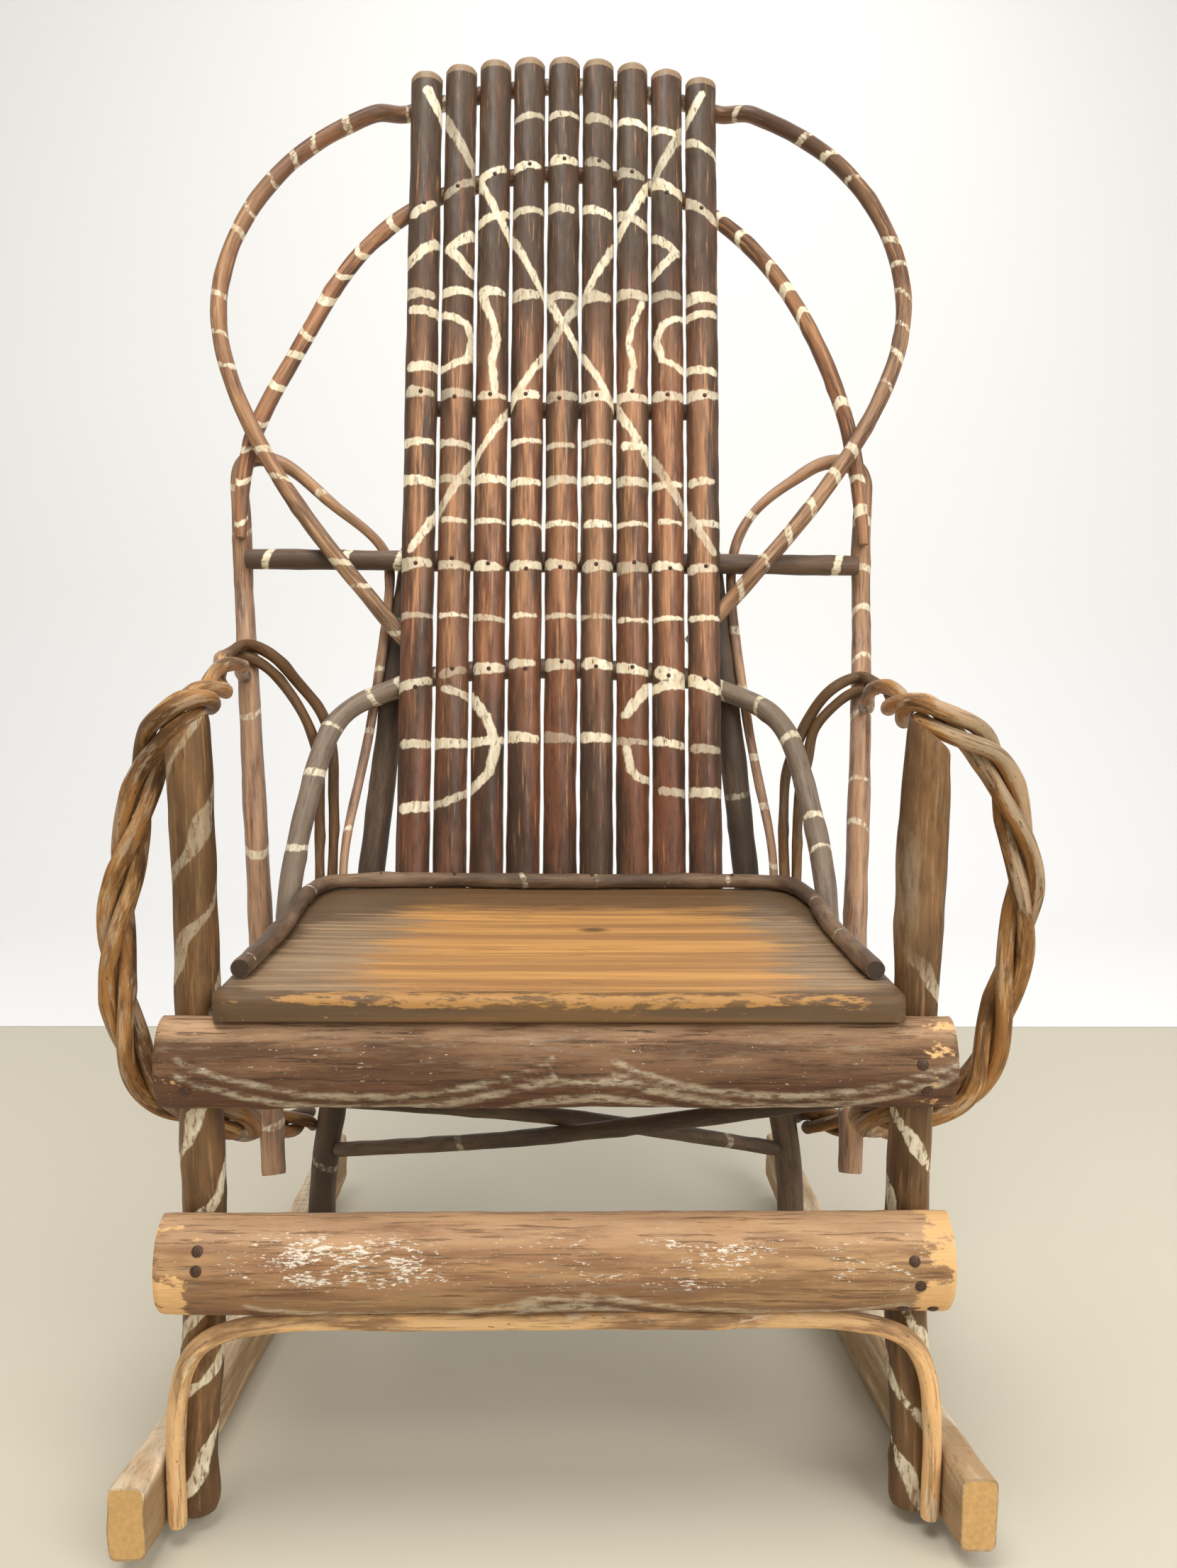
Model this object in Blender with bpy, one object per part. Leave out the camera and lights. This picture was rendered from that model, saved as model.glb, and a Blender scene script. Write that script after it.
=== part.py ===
"""Rustic high-back rocking chair made of bent saplings, half-logs and a plank seat.

Metres, +Z up, the front of the chair faces -Y. Points are laid out with y = 0 at the back edge of
the seat and z = 0 on the floor, then the whole chair is centred over the origin.
"""
import math

import bmesh
import bpy
import numpy as np

FIT = 0.0003                      # gap between pieces that touch

# Seat board and the twig that rims it
SEAT_HEIGHT = 0.390
SEAT_THICKNESS = 0.018
SEAT_FRONT_WIDTH = 0.448
SEAT_BACK_WIDTH = 0.460
SEAT_DEPTH = 0.366
SEAT_CORNER_RADIUS = 0.014
SEAT_EDGE_ROUND = 0.005
SEAT_SIDE_CLEARANCE = 0.0025      # seat edge to the front legs
RIM_RADIUS = 0.007
RIM_INSET = 0.004                 # rim twig to the edge of the seat
RIM_CORNER = 0.030

# Legs
FRONT_LEG_RADIUS = 0.0145
FRONT_LEG_SETBACK = 0.040         # front edge of the seat to the leg's axis
FRONT_LEG_TOP = 0.557
FRONT_LEG_SPLAY = 0.009           # how far the foot stands outside the leg at the seat
FRONT_LEG_FLARE = 0.002           # how far the top does
FRONT_LEG_KNOT = 0.003            # extra radius at the knobby bulge of the right leg
FRONT_LEG_KNOT_UP = 0.075         # the bulge above the seat
FRONT_LEG_KNOT_LENGTH = 0.045
REAR_LEG_RADIUS = 0.013
REAR_LEG_SEAT_SPREAD = 0.187      # axis to the middle of the chair, at the seat
REAR_LEG_TOP_SPREAD = 0.150       # the same, at the cross bar
REAR_FOOT_SPREAD = 0.2324         # the same, at the rocker
REAR_LEG_SWELL = 0.006            # bow outwards under the seat
REAR_FOOT_FORWARD = 0.022         # foot to the line of the leg above it
FOOT_RISE = 0.004                 # leg end above the underside of the rocker

# Rockers
ROCKER_THICKNESS = 0.024
ROCKER_DEPTH = 0.052
ROCKER_RADIUS = 1.65
ROCKER_FRONT_REACH = 0.055        # tip in front of the front leg's axis
ROCKER_REAR_REACH = 0.160         # tail behind the rear leg's axis
ROCKER_REST_Y = -0.120            # middle of the worn flat, under the centre of mass
ROCKER_FLAT = 0.070               # length of the worn flat
ROCKER_EDGE = 0.003

# Half-log rails in front, hidden rails under the seat
RAIL_OVERHANG = 0.0165            # past the axis of the front leg
SEAT_RAIL_HEIGHT = 0.061
SEAT_RAIL_DEPTH = 0.031
SEAT_RAIL_FLAT = 0.014            # planed top that carries the seat
LOWER_RAIL_HEIGHT = 0.069
LOWER_RAIL_DEPTH = 0.032
LOWER_RAIL_CENTRE = 0.2015
LOWER_RAIL_EXTRA = 0.004          # longer at each end than the seat rail
SIDE_RAIL_RADIUS = 0.012
SIDE_RAIL_TAIL = 0.030            # past the axis of the rear leg
REAR_RAIL_HEIGHT = 0.044
REAR_RAIL_DROP = 0.014            # top of the rail under the top of the seat
BRACE_RADIUS = 0.0065
BRACE_BEND = 0.055
STRETCHER_RADIUS = 0.007
STRETCHER_REAR_HEIGHT = 0.122
STRETCHER_FRONT_HEIGHT = 0.315

# Back
LEAN_DEGREES = 12.0
SLAT_COUNT = 9
SLAT_WIDTH = 0.031
SLAT_GAP = 0.0043
SLAT_THICKNESS = 0.015
SLAT_TOP = 0.846                  # up the back from the seat, at the middle slat
SLAT_CROWN_DROP = 0.019           # how much lower the outer slats end
SLAT_FOOT = 0.052                 # below the top of the seat
SLAT_CHAMFER = 0.006
OUTER_HOOP_RADIUS = 0.008
OUTER_HOOP_TOP = 0.829
OUTER_HOOP_OUT = (0.153, 0.267, 0.331, 0.345, 0.318, 0.250)   # its side from the middle of the chair
OUTER_HOOP_UP = (0.801, 0.743, 0.653, 0.578, 0.477, 0.366)    # at these places up the back
OUTER_HOOP_FOOT = 0.238           # where its ends pass behind the outer slats
OUTER_HOOP_MIDDLE = 0.550         # where its sides are not moved by its lean
OUTER_HOOP_LEAN = 0.04            # lean to the right, per length up the back
INNER_HOOP_RADIUS = 0.008
INNER_HOOP_TIP_RADIUS = 0.006
INNER_HOOP_TOP = 0.731
INNER_HOOP_OUT = (0.153, 0.218, 0.267)
INNER_HOOP_UP = (0.689, 0.626, 0.537)
INNER_HOOP_TAIL = 0.012           # its ends above the cross bar
BAR_RADIUS = 0.010                # cross bar and lower hoop
CROSS_BAR_UP = 0.320
MIDDLE_BAR_RADIUS = 0.008
MIDDLE_BAR_UP = 0.477
LOWER_HOOP_TOP = 0.212
LOWER_HOOP_OUT = (0.206, 0.2305)  # its bend at each side of the slats
LOWER_HOOP_UP = (0.166, 0.097)
LOWER_HOOP_FORWARD = (0.004, 0.036)
HOOP_PASS = 0.034                 # width in which the outer hoop passes in front
HOOP_CROSSING = 0.0009            # gap where it crosses the other hoop and the cross bar

# Back posts
POST_BUTT_RADIUS = 0.0112
POST_RADIUS = 0.0095
POST_TIP_RADIUS = 0.004
POST_BUTT_HEIGHT = 0.141
POST_STANDOFF = 0.054             # axis to the edge of the seat
POST_BEND_UP = 0.385              # where the post bends over, up the back from the seat
POST_FORWARD = 0.022              # axis at the arm, in front of its line up the back
POST_OUTWARD_LEFT = 0.041         # top of the left post outside its place at the seat
POST_OUTWARD_RIGHT = 0.025
POST_TIP_SAG_LEFT = 0.026         # how much lower the bent-over tip of the left post runs
POST_TIP_SAG_RIGHT = 0.0
TIP_RADIUS = 0.005                # thin end of a post

# Arms
STRAND_RADIUS = 0.0059
STRAND_TIP_RADIUS = 0.0045
STRANDS = 3
STRAND_EASE = 1.080               # looseness of the winding
STRAND_STEP = 9                   # samples of the arm's middle line from ring to ring
STRAND_PAST_LEG = 0.045           # the first strand ends this far past the leg
ARM_HEIGHT_LEFT = 0.600           # where the left arm crosses the post
ARM_HEIGHT_RIGHT = 0.575
STRAND_2_DROP = 0.019             # the second strand meets the post this far below the arm's height
SHOOT_LIFT = 0.008                # the third strand crosses the post this far above it
TAIL_DROP = 0.005                 # the thin shoot crosses it this far below
SHOOT_CROSSING = (-0.9, 0.25, 0.0)  # way of the third strand across the front of the post
TAIL_CROSSING = (-0.9, 0.2, -0.3)
TWIST_PITCH = 0.200               # length of one full turn
ARM_SLANT_DEGREES = 38.0          # slope of the cut on top of the front leg
ARM_FOOT_HEIGHT = 0.152           # where the arm is nailed to the rear leg
ARM_POST_HEIGHT = 0.178           # where it passes the butt of the back post
ARM_LOOP_HEIGHTS = (0.299, 0.350, 0.408, 0.462, 0.514, 0.543)
ARM_LOOP_LEFT = (0.0335, 0.0570, 0.0613, 0.0528, 0.0400, 0.0310)   # from the leg's axis, at each height
ARM_LOOP_RIGHT = (0.0426, 0.0645, 0.0758, 0.0781, 0.0635, 0.0494)
ARM_LOOP_FORWARD = 0.005          # top of the loop in front of its foot
ARM_ON_LEG_BACK = 0.011           # the arm's middle line behind the leg's axis, where it lies on the leg
SHOOT_RADIUS = 0.0055             # third strand past the post
TAIL_RADIUS = 0.005

# Values worked out from the sizes above
LEAN = math.radians(LEAN_DEGREES)
ARM_SLANT = math.radians(ARM_SLANT_DEGREES)
SEAT_UNDERSIDE = SEAT_HEIGHT - SEAT_THICKNESS
FRONT_LEG_Y = FRONT_LEG_SETBACK - SEAT_DEPTH
SLAT_PITCH = SLAT_WIDTH + SLAT_GAP
SLAT_GROUP = (SLAT_COUNT - 1) / 2 * SLAT_PITCH + SLAT_WIDTH / 2
SLAT_PLANE_Y = FIT + SEAT_THICKNESS * math.tan(LEAN) + SLAT_THICKNESS / math.cos(LEAN)
OUTER_HOOP_BACK = OUTER_HOOP_RADIUS + FIT
INNER_HOOP_BACK = INNER_HOOP_RADIUS + FIT
OUTER_HOOP_FRONT = INNER_HOOP_BACK - INNER_HOOP_RADIUS - HOOP_CROSSING - OUTER_HOOP_RADIUS
BAR_BACK = BAR_RADIUS + FIT
REAR_LEG_BACK = BAR_BACK + BAR_RADIUS + FIT + REAR_LEG_RADIUS
POST_BACK = INNER_HOOP_BACK + INNER_HOOP_RADIUS + FIT + POST_RADIUS
STRAND_LAY = (2 * STRAND_RADIUS + 2 * FIT) / math.sqrt(3) * STRAND_EASE
ARM_RADIUS = STRAND_LAY + STRAND_RADIUS
ARM_CUT = np.array((math.sin(ARM_SLANT), 0, math.cos(ARM_SLANT)))
BACK_NORMAL = (0.0, math.cos(LEAN), -math.sin(LEAN))
TIP_BACK = 2 * BAR_RADIUS + 3 * FIT + TIP_RADIUS

PAINTED_BARK = ((0.115, 0.058, 0.040), 0.62)
SLAT_PAINT = ((0.135, 0.062, 0.045), 0.60)
RAIL_BARK = ((0.190, 0.112, 0.070), 0.70)
BARE_TWIG = ((0.330, 0.190, 0.085), 0.58)
SEAT_WOOD = ((0.240, 0.115, 0.045), 0.48)
SAWN_WOOD = ((0.300, 0.215, 0.130), 0.80)
HIDDEN_WOOD = ((0.140, 0.085, 0.055), 0.75)


# Helpers

def clear_scene():
    for item in list(bpy.data.objects):
        bpy.data.objects.remove(item, do_unlink=True)


def material(name, look):
    """The Principled material of one sub-part."""
    colour, roughness = look
    made = bpy.data.materials.new(name)
    made.use_nodes = True
    shader = made.node_tree.nodes["Principled BSDF"]
    shader.inputs["Base Color"].default_value = (*colour, 1.0)
    shader.inputs["Roughness"].default_value = roughness
    shader.inputs["Metallic"].default_value = 0.0
    return made


def unit(vector):
    vector = np.asarray(vector, float)
    return vector / np.linalg.norm(vector)


def seat_half(y):
    """Half the width of the seat at a distance from its back edge."""
    share = -y / SEAT_DEPTH
    return SEAT_BACK_WIDTH / 2 * (1 - share) + SEAT_FRONT_WIDTH / 2 * share


def back(x, up, behind):
    """A point beside, up and behind the plane of the slats' flat backs, from the top of the seat."""
    y = SLAT_PLANE_Y + up * math.sin(LEAN) + behind * math.cos(LEAN)
    z = SEAT_HEIGHT + up * math.cos(LEAN) - behind * math.sin(LEAN)
    return (x, y, z)


def spline(points, samples=240):
    """A natural cubic curve through the points, by length along their chords."""
    points = np.asarray(points, float)
    chord = np.linalg.norm(np.diff(points[:, :3], axis=0), axis=1)
    knots = np.concatenate([[0.0], np.cumsum(chord)])
    size = len(points)
    system = np.eye(size)
    right = np.zeros_like(points)
    for i in range(1, size - 1):
        before, after = chord[i - 1], chord[i]
        system[i, i - 1:i + 2] = before, 2 * (before + after), after
        right[i] = 6 * ((points[i + 1] - points[i]) / after - (points[i] - points[i - 1]) / before)
    curve = np.linalg.solve(system, right)
    at = np.linspace(0, knots[-1], samples)
    i = np.clip(np.searchsorted(knots, at) - 1, 0, size - 2)
    width = chord[i][:, None]
    low = (knots[i + 1] - at)[:, None] / width
    high = 1 - low
    bow = (low ** 3 - low) * curve[i] + (high ** 3 - high) * curve[i + 1]
    return low * points[i] + high * points[i + 1] + bow * width ** 2 / 6


def mirror(points):
    """Half a list, from the middle outwards, mirrored into a whole one from left to right."""
    left = [(-p[0], *p[1:]) for p in reversed(points) if p[0] > 0]
    return left + list(points)


def to_side(points, side):
    points = np.array(points, float)
    points[:, 0] *= side
    return points


def loft(name, rings, look, smooth=True):
    """A closed solid through rings of points, one object with its own material."""
    mesh = bmesh.new()
    rows = [[mesh.verts.new(p) for p in ring] for ring in rings]
    for low, high in zip(rows, rows[1:]):
        for i in range(len(low)):
            j = (i + 1) % len(low)
            mesh.faces.new((low[i], low[j], high[j], high[i]))
    mesh.faces.new(rows[0])
    mesh.faces.new(rows[-1])
    bmesh.ops.recalc_face_normals(mesh, faces=mesh.faces)
    data = bpy.data.meshes.new(name)
    mesh.to_mesh(data)
    mesh.free()
    if smooth:
        data.shade_smooth()
        data.set_sharp_from_angle(angle=math.radians(50))
    data.materials.append(material(name, look))
    made = bpy.data.objects.new(name, data)
    bpy.context.collection.objects.link(made)
    return made


def stations(path, longest, turn):
    """Fewer points along a dense path, closer together where it bends."""
    step = np.diff(path[:, :3], axis=0)
    length = np.linalg.norm(step, axis=1)
    way = step / length[:, None]
    bend = np.arccos(np.clip(np.sum(way[1:] * way[:-1], axis=1), -1, 1))
    cost = length / longest
    cost[1:] += bend / turn
    total = np.concatenate([[0.0], np.cumsum(cost)])
    wanted = np.linspace(0, total[-1], max(3, math.ceil(total[-1]) + 1))
    return np.stack([np.interp(wanted, total, column) for column in path.T], axis=1)


def tangents(path):
    step = np.diff(path, axis=0)
    step /= np.linalg.norm(step, axis=1)[:, None]
    way = np.vstack([step[:1], step[1:] + step[:-1], step[-1:]])
    return way / np.linalg.norm(way, axis=1)[:, None]


def transported(way, first):
    """Side vectors carried along a path without twist."""
    sides = [unit(np.cross(way[0], np.cross(first, way[0])))]
    for direction in way[1:]:
        last = sides[-1]
        sides.append(unit(last - direction * np.dot(last, direction)))
    return np.array(sides)


def rounds(name, path, look, up, sides, slant=None):
    """A round solid with a ring at every point of a path of x, y, z and radius."""
    way = tangents(path[:, :3])
    across = transported(way, np.asarray(up, float))
    if np.max(np.abs(way @ unit(up))) < 0.95:
        across = np.array([unit(np.cross(w, np.cross(up, w))) for w in way])
    beside = np.cross(way, across)
    angles = 2 * math.pi * np.arange(sides) / sides
    rings = []
    for centre, a, b in zip(path, across, beside):
        rings.append([centre[:3] + centre[3] * (a * math.cos(t) + b * math.sin(t)) for t in angles])
    if slant is not None:
        top = path[-1, :3]
        rings[-1] = [p + np.array((0, 0, np.dot(p - top, slant))) for p in rings[-1]]
    return loft(name, rings, look)


def twig(name, path, look, up, sides=8, longest=0.05, turn=0.22, slant=None):
    """A round sapling along a dense path. One corner of every section points along up."""
    path = stations(np.asarray(path, float), longest, turn)
    return rounds(name, path, look, up, sides, slant)


# Base

def front_leg_x():
    """Axis of a front leg to the middle of the chair, at the seat."""
    return seat_half(FRONT_LEG_Y) + SEAT_SIDE_CLEARANCE + FRONT_LEG_RADIUS


def front_leg_axis(side):
    """Axis points of a front leg with radius, foot first."""
    at_seat = front_leg_x()
    foot = at_seat + FRONT_LEG_SPLAY
    low = rocker_underside(FRONT_LEG_Y) + FOOT_RISE
    radius = FRONT_LEG_RADIUS
    points = [
        (foot, FRONT_LEG_Y, low, radius),
        (foot, FRONT_LEG_Y, low + 0.8 * ROCKER_DEPTH, radius),
        (at_seat + 0.3 * FRONT_LEG_SPLAY, FRONT_LEG_Y, LOWER_RAIL_CENTRE - LOWER_RAIL_HEIGHT, radius),
        (at_seat, FRONT_LEG_Y, SEAT_UNDERSIDE - SEAT_RAIL_HEIGHT, radius),
        (at_seat, FRONT_LEG_Y, SEAT_HEIGHT, radius),
        (at_seat + FRONT_LEG_FLARE, FRONT_LEG_Y, FRONT_LEG_TOP, radius),
    ]
    return to_side(points, side)


def rocker_underside(y):
    """Height of the rocker's underside: a worn flat with an arc at each end."""
    past = max(0.0, abs(y - ROCKER_REST_Y) - ROCKER_FLAT / 2)
    return past * past / (2 * ROCKER_RADIUS)


def rear_leg_foot_y():
    return back(0, -REAR_RAIL_DROP - REAR_RAIL_HEIGHT, REAR_LEG_BACK)[1] - REAR_FOOT_FORWARD


def rear_leg_axis(side):
    """Axis points of a rear leg with radius, foot first."""
    foot_y = rear_leg_foot_y()
    low = rocker_underside(foot_y) + FOOT_RISE
    rail = -REAR_RAIL_DROP - REAR_RAIL_HEIGHT
    radius = REAR_LEG_RADIUS
    points = [
        (REAR_FOOT_SPREAD, foot_y, low, radius),
        (REAR_FOOT_SPREAD, foot_y, low + ROCKER_DEPTH, radius),
        (*back(REAR_LEG_SEAT_SPREAD + REAR_LEG_SWELL, rail, REAR_LEG_BACK), radius),
        (*back(REAR_LEG_SEAT_SPREAD, 0, REAR_LEG_BACK), radius),
        (*back(REAR_LEG_TOP_SPREAD, CROSS_BAR_UP + 2 * BAR_RADIUS, REAR_LEG_BACK), radius),
    ]
    return to_side(points, side)


def rocker(name, side):
    front_x = abs(front_leg_axis(side)[0, 0]) + FRONT_LEG_RADIUS + FIT
    rear_y = rear_leg_foot_y()
    rear_x = REAR_FOOT_SPREAD + REAR_LEG_RADIUS + FIT
    tip = FRONT_LEG_Y - ROCKER_FRONT_REACH
    tail = rear_y + ROCKER_REAR_REACH
    flat = (ROCKER_REST_Y - ROCKER_FLAT / 2, ROCKER_REST_Y + ROCKER_FLAT / 2)
    along = np.concatenate([np.linspace(tip, flat[0], 8), np.linspace(flat[1], tail, 9)])
    slope = (rear_x - front_x) / (rear_y - FRONT_LEG_Y)
    rings = []
    for y in along:
        inner = front_x + slope * (y - FRONT_LEG_Y)
        outer = inner + ROCKER_THICKNESS
        low = rocker_underside(y)
        high = low + ROCKER_DEPTH
        e = ROCKER_EDGE
        ring = [
            (inner, y, low + e), (inner + e, y, low), (outer - e, y, low), (outer, y, low + e),
            (outer, y, high - e), (outer - e, y, high), (inner + e, y, high), (inner, y, high - e),
        ]
        rings.append(to_side(ring, side))
    return loft(name, rings, SAWN_WOOD)


def front_leg(name, side):
    path = spline(front_leg_axis(side))
    if side > 0:
        bulge = (path[:, 2] - SEAT_HEIGHT - FRONT_LEG_KNOT_UP) / FRONT_LEG_KNOT_LENGTH
        path[:, 3] += FRONT_LEG_KNOT * np.exp(-bulge ** 2)
    slant = np.array((-side * math.tan(ARM_SLANT), 0, 0))
    return twig(name, path, RAIL_BARK, (0, 1, 0), sides=12, longest=0.06, slant=slant)


def rear_leg(name, side):
    return twig(name, spline(rear_leg_axis(side)), PAINTED_BARK, (0, 1, 0), sides=12, longest=0.09)


def half_log(name, height, depth, flat_top, centre, half_length, look):
    """A half-log along X whose flat back lies on the front legs."""
    flat_back = FRONT_LEG_Y - FRONT_LEG_RADIUS - FIT
    half = height / 2
    start = math.asin(flat_top / depth)
    outline = [(0.0, half)]
    for angle in np.linspace(start, math.pi, 9):
        outline.append((-depth * math.sin(angle), half * math.cos(angle) / max(math.cos(start), 0.01)))
    if flat_top == 0:
        outline = outline[1:]
    outline = [(d, max(-half, min(half, z))) for d, z in outline]
    rings = []
    for x, share in ((-1, 0.93), (-0.985, 1), (-0.5, 0.985), (0.1, 1), (0.6, 0.98), (0.985, 1), (1, 0.93)):
        ring = [(x * half_length, flat_back + d * share, centre + z) for d, z in outline]
        rings.append(ring)
    return loft(name, rings, look)


def rail_half_length():
    return front_leg_x() + RAIL_OVERHANG


def front_seat_rail(name):
    centre = SEAT_UNDERSIDE - FIT - SEAT_RAIL_HEIGHT / 2
    return half_log(name, SEAT_RAIL_HEIGHT, SEAT_RAIL_DEPTH, SEAT_RAIL_FLAT, centre,
                    rail_half_length(), RAIL_BARK)


def lower_front_rail(name):
    return half_log(name, LOWER_RAIL_HEIGHT, LOWER_RAIL_DEPTH, 0.0, LOWER_RAIL_CENTRE,
                    rail_half_length() + LOWER_RAIL_EXTRA, RAIL_BARK)


def front_brace(name):
    """A sapling bent under the lower rail, its ends down the front of the legs."""
    y = FRONT_LEG_Y - FRONT_LEG_RADIUS - FIT - BRACE_RADIUS
    depth = BRACE_RADIUS + FIT
    under = LOWER_RAIL_HEIGHT / 2 * math.sqrt(1 - (depth / LOWER_RAIL_DEPTH) ** 2)
    high = LOWER_RAIL_CENTRE - under - FIT - BRACE_RADIUS
    foot = front_leg_axis(1)[0, 0] + FRONT_LEG_RADIUS - FIT - BRACE_RADIUS
    half = [
        (0.0, y, high, BRACE_RADIUS),
        (foot - 2.6 * BRACE_BEND, y, high, BRACE_RADIUS),
        (foot - BRACE_BEND, y, high - 0.003, BRACE_RADIUS),
        (foot - 0.32 * BRACE_BEND, y, high - 0.32 * BRACE_BEND, BRACE_RADIUS),
        (foot - 0.05 * BRACE_BEND, y, high - BRACE_BEND, BRACE_RADIUS),
        (foot, y, high - 2 * BRACE_BEND, BRACE_RADIUS),
        (foot, y, rocker_underside(y) + FOOT_RISE, BRACE_RADIUS),
    ]
    return twig(name, spline(mirror(half)), BARE_TWIG, (0, 1, 0), longest=0.08)


def side_seat_rail(name, side):
    """A sapling under the edge of the seat, from the front rail past the rear leg."""
    front_x = front_leg_x() - FRONT_LEG_RADIUS - FIT - SIDE_RAIL_RADIUS
    z = SEAT_UNDERSIDE - FIT - SIDE_RAIL_RADIUS
    up = (z - SEAT_HEIGHT + REAR_LEG_BACK * math.sin(LEAN)) / math.cos(LEAN)
    leg = np.interp(up, (-REAR_RAIL_DROP - REAR_RAIL_HEIGHT, 0),
                    (REAR_LEG_SEAT_SPREAD + REAR_LEG_SWELL, REAR_LEG_SEAT_SPREAD))
    rear_x = leg + REAR_LEG_RADIUS + FIT + SIDE_RAIL_RADIUS
    rear_y = back(0, up, REAR_LEG_BACK)[1]
    front_y = FRONT_LEG_Y - FRONT_LEG_RADIUS
    points = [
        (front_x, front_y, z, SIDE_RAIL_RADIUS),
        (front_x, FRONT_LEG_Y + 2 * FRONT_LEG_RADIUS, z, SIDE_RAIL_RADIUS),
        (rear_x, rear_y - 0.03, z, SIDE_RAIL_RADIUS),
        (rear_x, rear_y + SIDE_RAIL_TAIL, z, SIDE_RAIL_RADIUS),
    ]
    return twig(name, spline(to_side(points, side)), HIDDEN_WOOD, (0, 0, 1), longest=0.15)


def rear_seat_rail(name):
    """A cleat between the slat feet and the rear legs."""
    half = REAR_LEG_SEAT_SPREAD + REAR_LEG_RADIUS + FIT
    depth = 2 * BAR_RADIUS
    low = -REAR_RAIL_DROP - REAR_RAIL_HEIGHT
    outline = [(low, FIT), (-REAR_RAIL_DROP, FIT), (-REAR_RAIL_DROP, depth), (low, depth + FIT)]
    rings = []
    for x in (-half, half):
        rings.append([back(x, up, behind) for up, behind in outline])
    return loft(name, rings, HIDDEN_WOOD, smooth=False)


def at_height(path, z):
    """Axis point of a leg or post at a height, and the direction of the axis there."""
    point = np.array([np.interp(z, path[:, 2], path[:, i]) for i in range(3)])
    above = np.array([np.interp(z + 0.01, path[:, 2], path[:, i]) for i in range(3)])
    return point, unit(above - point)


def set_back(way, axis, radius, leg_radius):
    """How far from a leg's axis a square-cut sapling ends so that it just meets the leg."""
    square = np.linalg.norm(np.cross(way, axis))
    return (leg_radius + FIT + radius * abs(np.dot(way, axis))) / square


def stretcher(name, side, over):
    """A sapling from one rear leg, low, to the opposite front leg, higher."""
    start, rear_axis = at_height(spline(rear_leg_axis(side)), STRETCHER_REAR_HEIGHT)
    end, front_axis = at_height(spline(front_leg_axis(-side)), STRETCHER_FRONT_HEIGHT)
    way = unit(end - start)
    start = start + way * set_back(way, rear_axis, STRETCHER_RADIUS, REAR_LEG_RADIUS)
    end = end - way * set_back(way, front_axis, STRETCHER_RADIUS, FRONT_LEG_RADIUS)
    apart = unit((0, way[2], -way[1]))
    crossing = start + (end - start) * start[0] / (start[0] - end[0])
    middle = crossing + over * apart * (STRETCHER_RADIUS + FIT)
    points = [(*p, STRETCHER_RADIUS) for p in (start, middle, end)]
    return twig(name, spline(points), PAINTED_BARK, apart, longest=0.09)


# Seat

def seat_outline(inset):
    """Outline of the seat seen from above, front corners rounded, moved in from every edge."""
    corner = SEAT_CORNER_RADIUS
    front = SEAT_FRONT_WIDTH / 2 - corner
    points = []
    for side, start in ((-1, math.pi), (1, 1.5 * math.pi)):
        for turn in np.linspace(start, start + math.pi / 2, 5):
            out = corner - inset
            points.append((side * front + out * math.cos(turn), corner - SEAT_DEPTH + out * math.sin(turn)))
    rear = SEAT_BACK_WIDTH / 2 - inset
    return points + [(rear, -inset), (-rear, -inset)]


def seat_board(name):
    """A plank, a little wider at the back, its upper edges worn round."""
    edge = SEAT_EDGE_ROUND
    levels = [
        (SEAT_UNDERSIDE, 0.0), (SEAT_HEIGHT - edge, 0.0),
        (SEAT_HEIGHT - 0.3 * edge, 0.3 * edge), (SEAT_HEIGHT, edge),
    ]
    rings = [[(x, y, z) for x, y in seat_outline(inset)] for z, inset in levels]
    return loft(name, rings, SEAT_WOOD)


def seat_rim_twig(name):
    z = SEAT_HEIGHT + FIT + RIM_RADIUS
    off = RIM_INSET + RIM_RADIUS
    rear = -off
    side_y = rear - RIM_CORNER
    half = [
        (0.0, rear, z, RIM_RADIUS),
        (seat_half(0) - off - RIM_CORNER, rear, z, RIM_RADIUS),
        (seat_half(0) - off - 0.3 * RIM_CORNER, rear - 0.3 * RIM_CORNER, z, RIM_RADIUS),
        (seat_half(side_y) - off, side_y, z, RIM_RADIUS),
        (seat_half(FRONT_LEG_Y / 2) - off, FRONT_LEG_Y / 2, z, RIM_RADIUS),
        (seat_half(FRONT_LEG_Y) - off, FRONT_LEG_Y, z, RIM_RADIUS),
    ]
    return twig(name, spline(mirror(half)), PAINTED_BARK, (0, 0, 1), longest=0.08)


# Back

def back_slat(name, index):
    """A half-round slat, flat side back, its top end whittled."""
    place = index - (SLAT_COUNT - 1) / 2
    x = place * SLAT_PITCH
    share = place / ((SLAT_COUNT - 1) / 2)
    top = SLAT_TOP - SLAT_CROWN_DROP * share * share
    outline = []
    for angle in np.linspace(0, math.pi, 8):
        outline.append((SLAT_WIDTH / 2 * math.cos(angle), -SLAT_THICKNESS * math.sin(angle)))
    rings = []
    whittled = top - SLAT_CHAMFER
    levels = [(-SLAT_FOOT, 1.0), (0.30 * top, 0.985), (0.65 * top, 1.0), (whittled, 0.99), (top, 0.72)]
    for up, full in levels:
        rings.append([back(x + u * full, up, n * full) for u, n in outline])
    return loft(name, rings, SLAT_PAINT)


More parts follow.
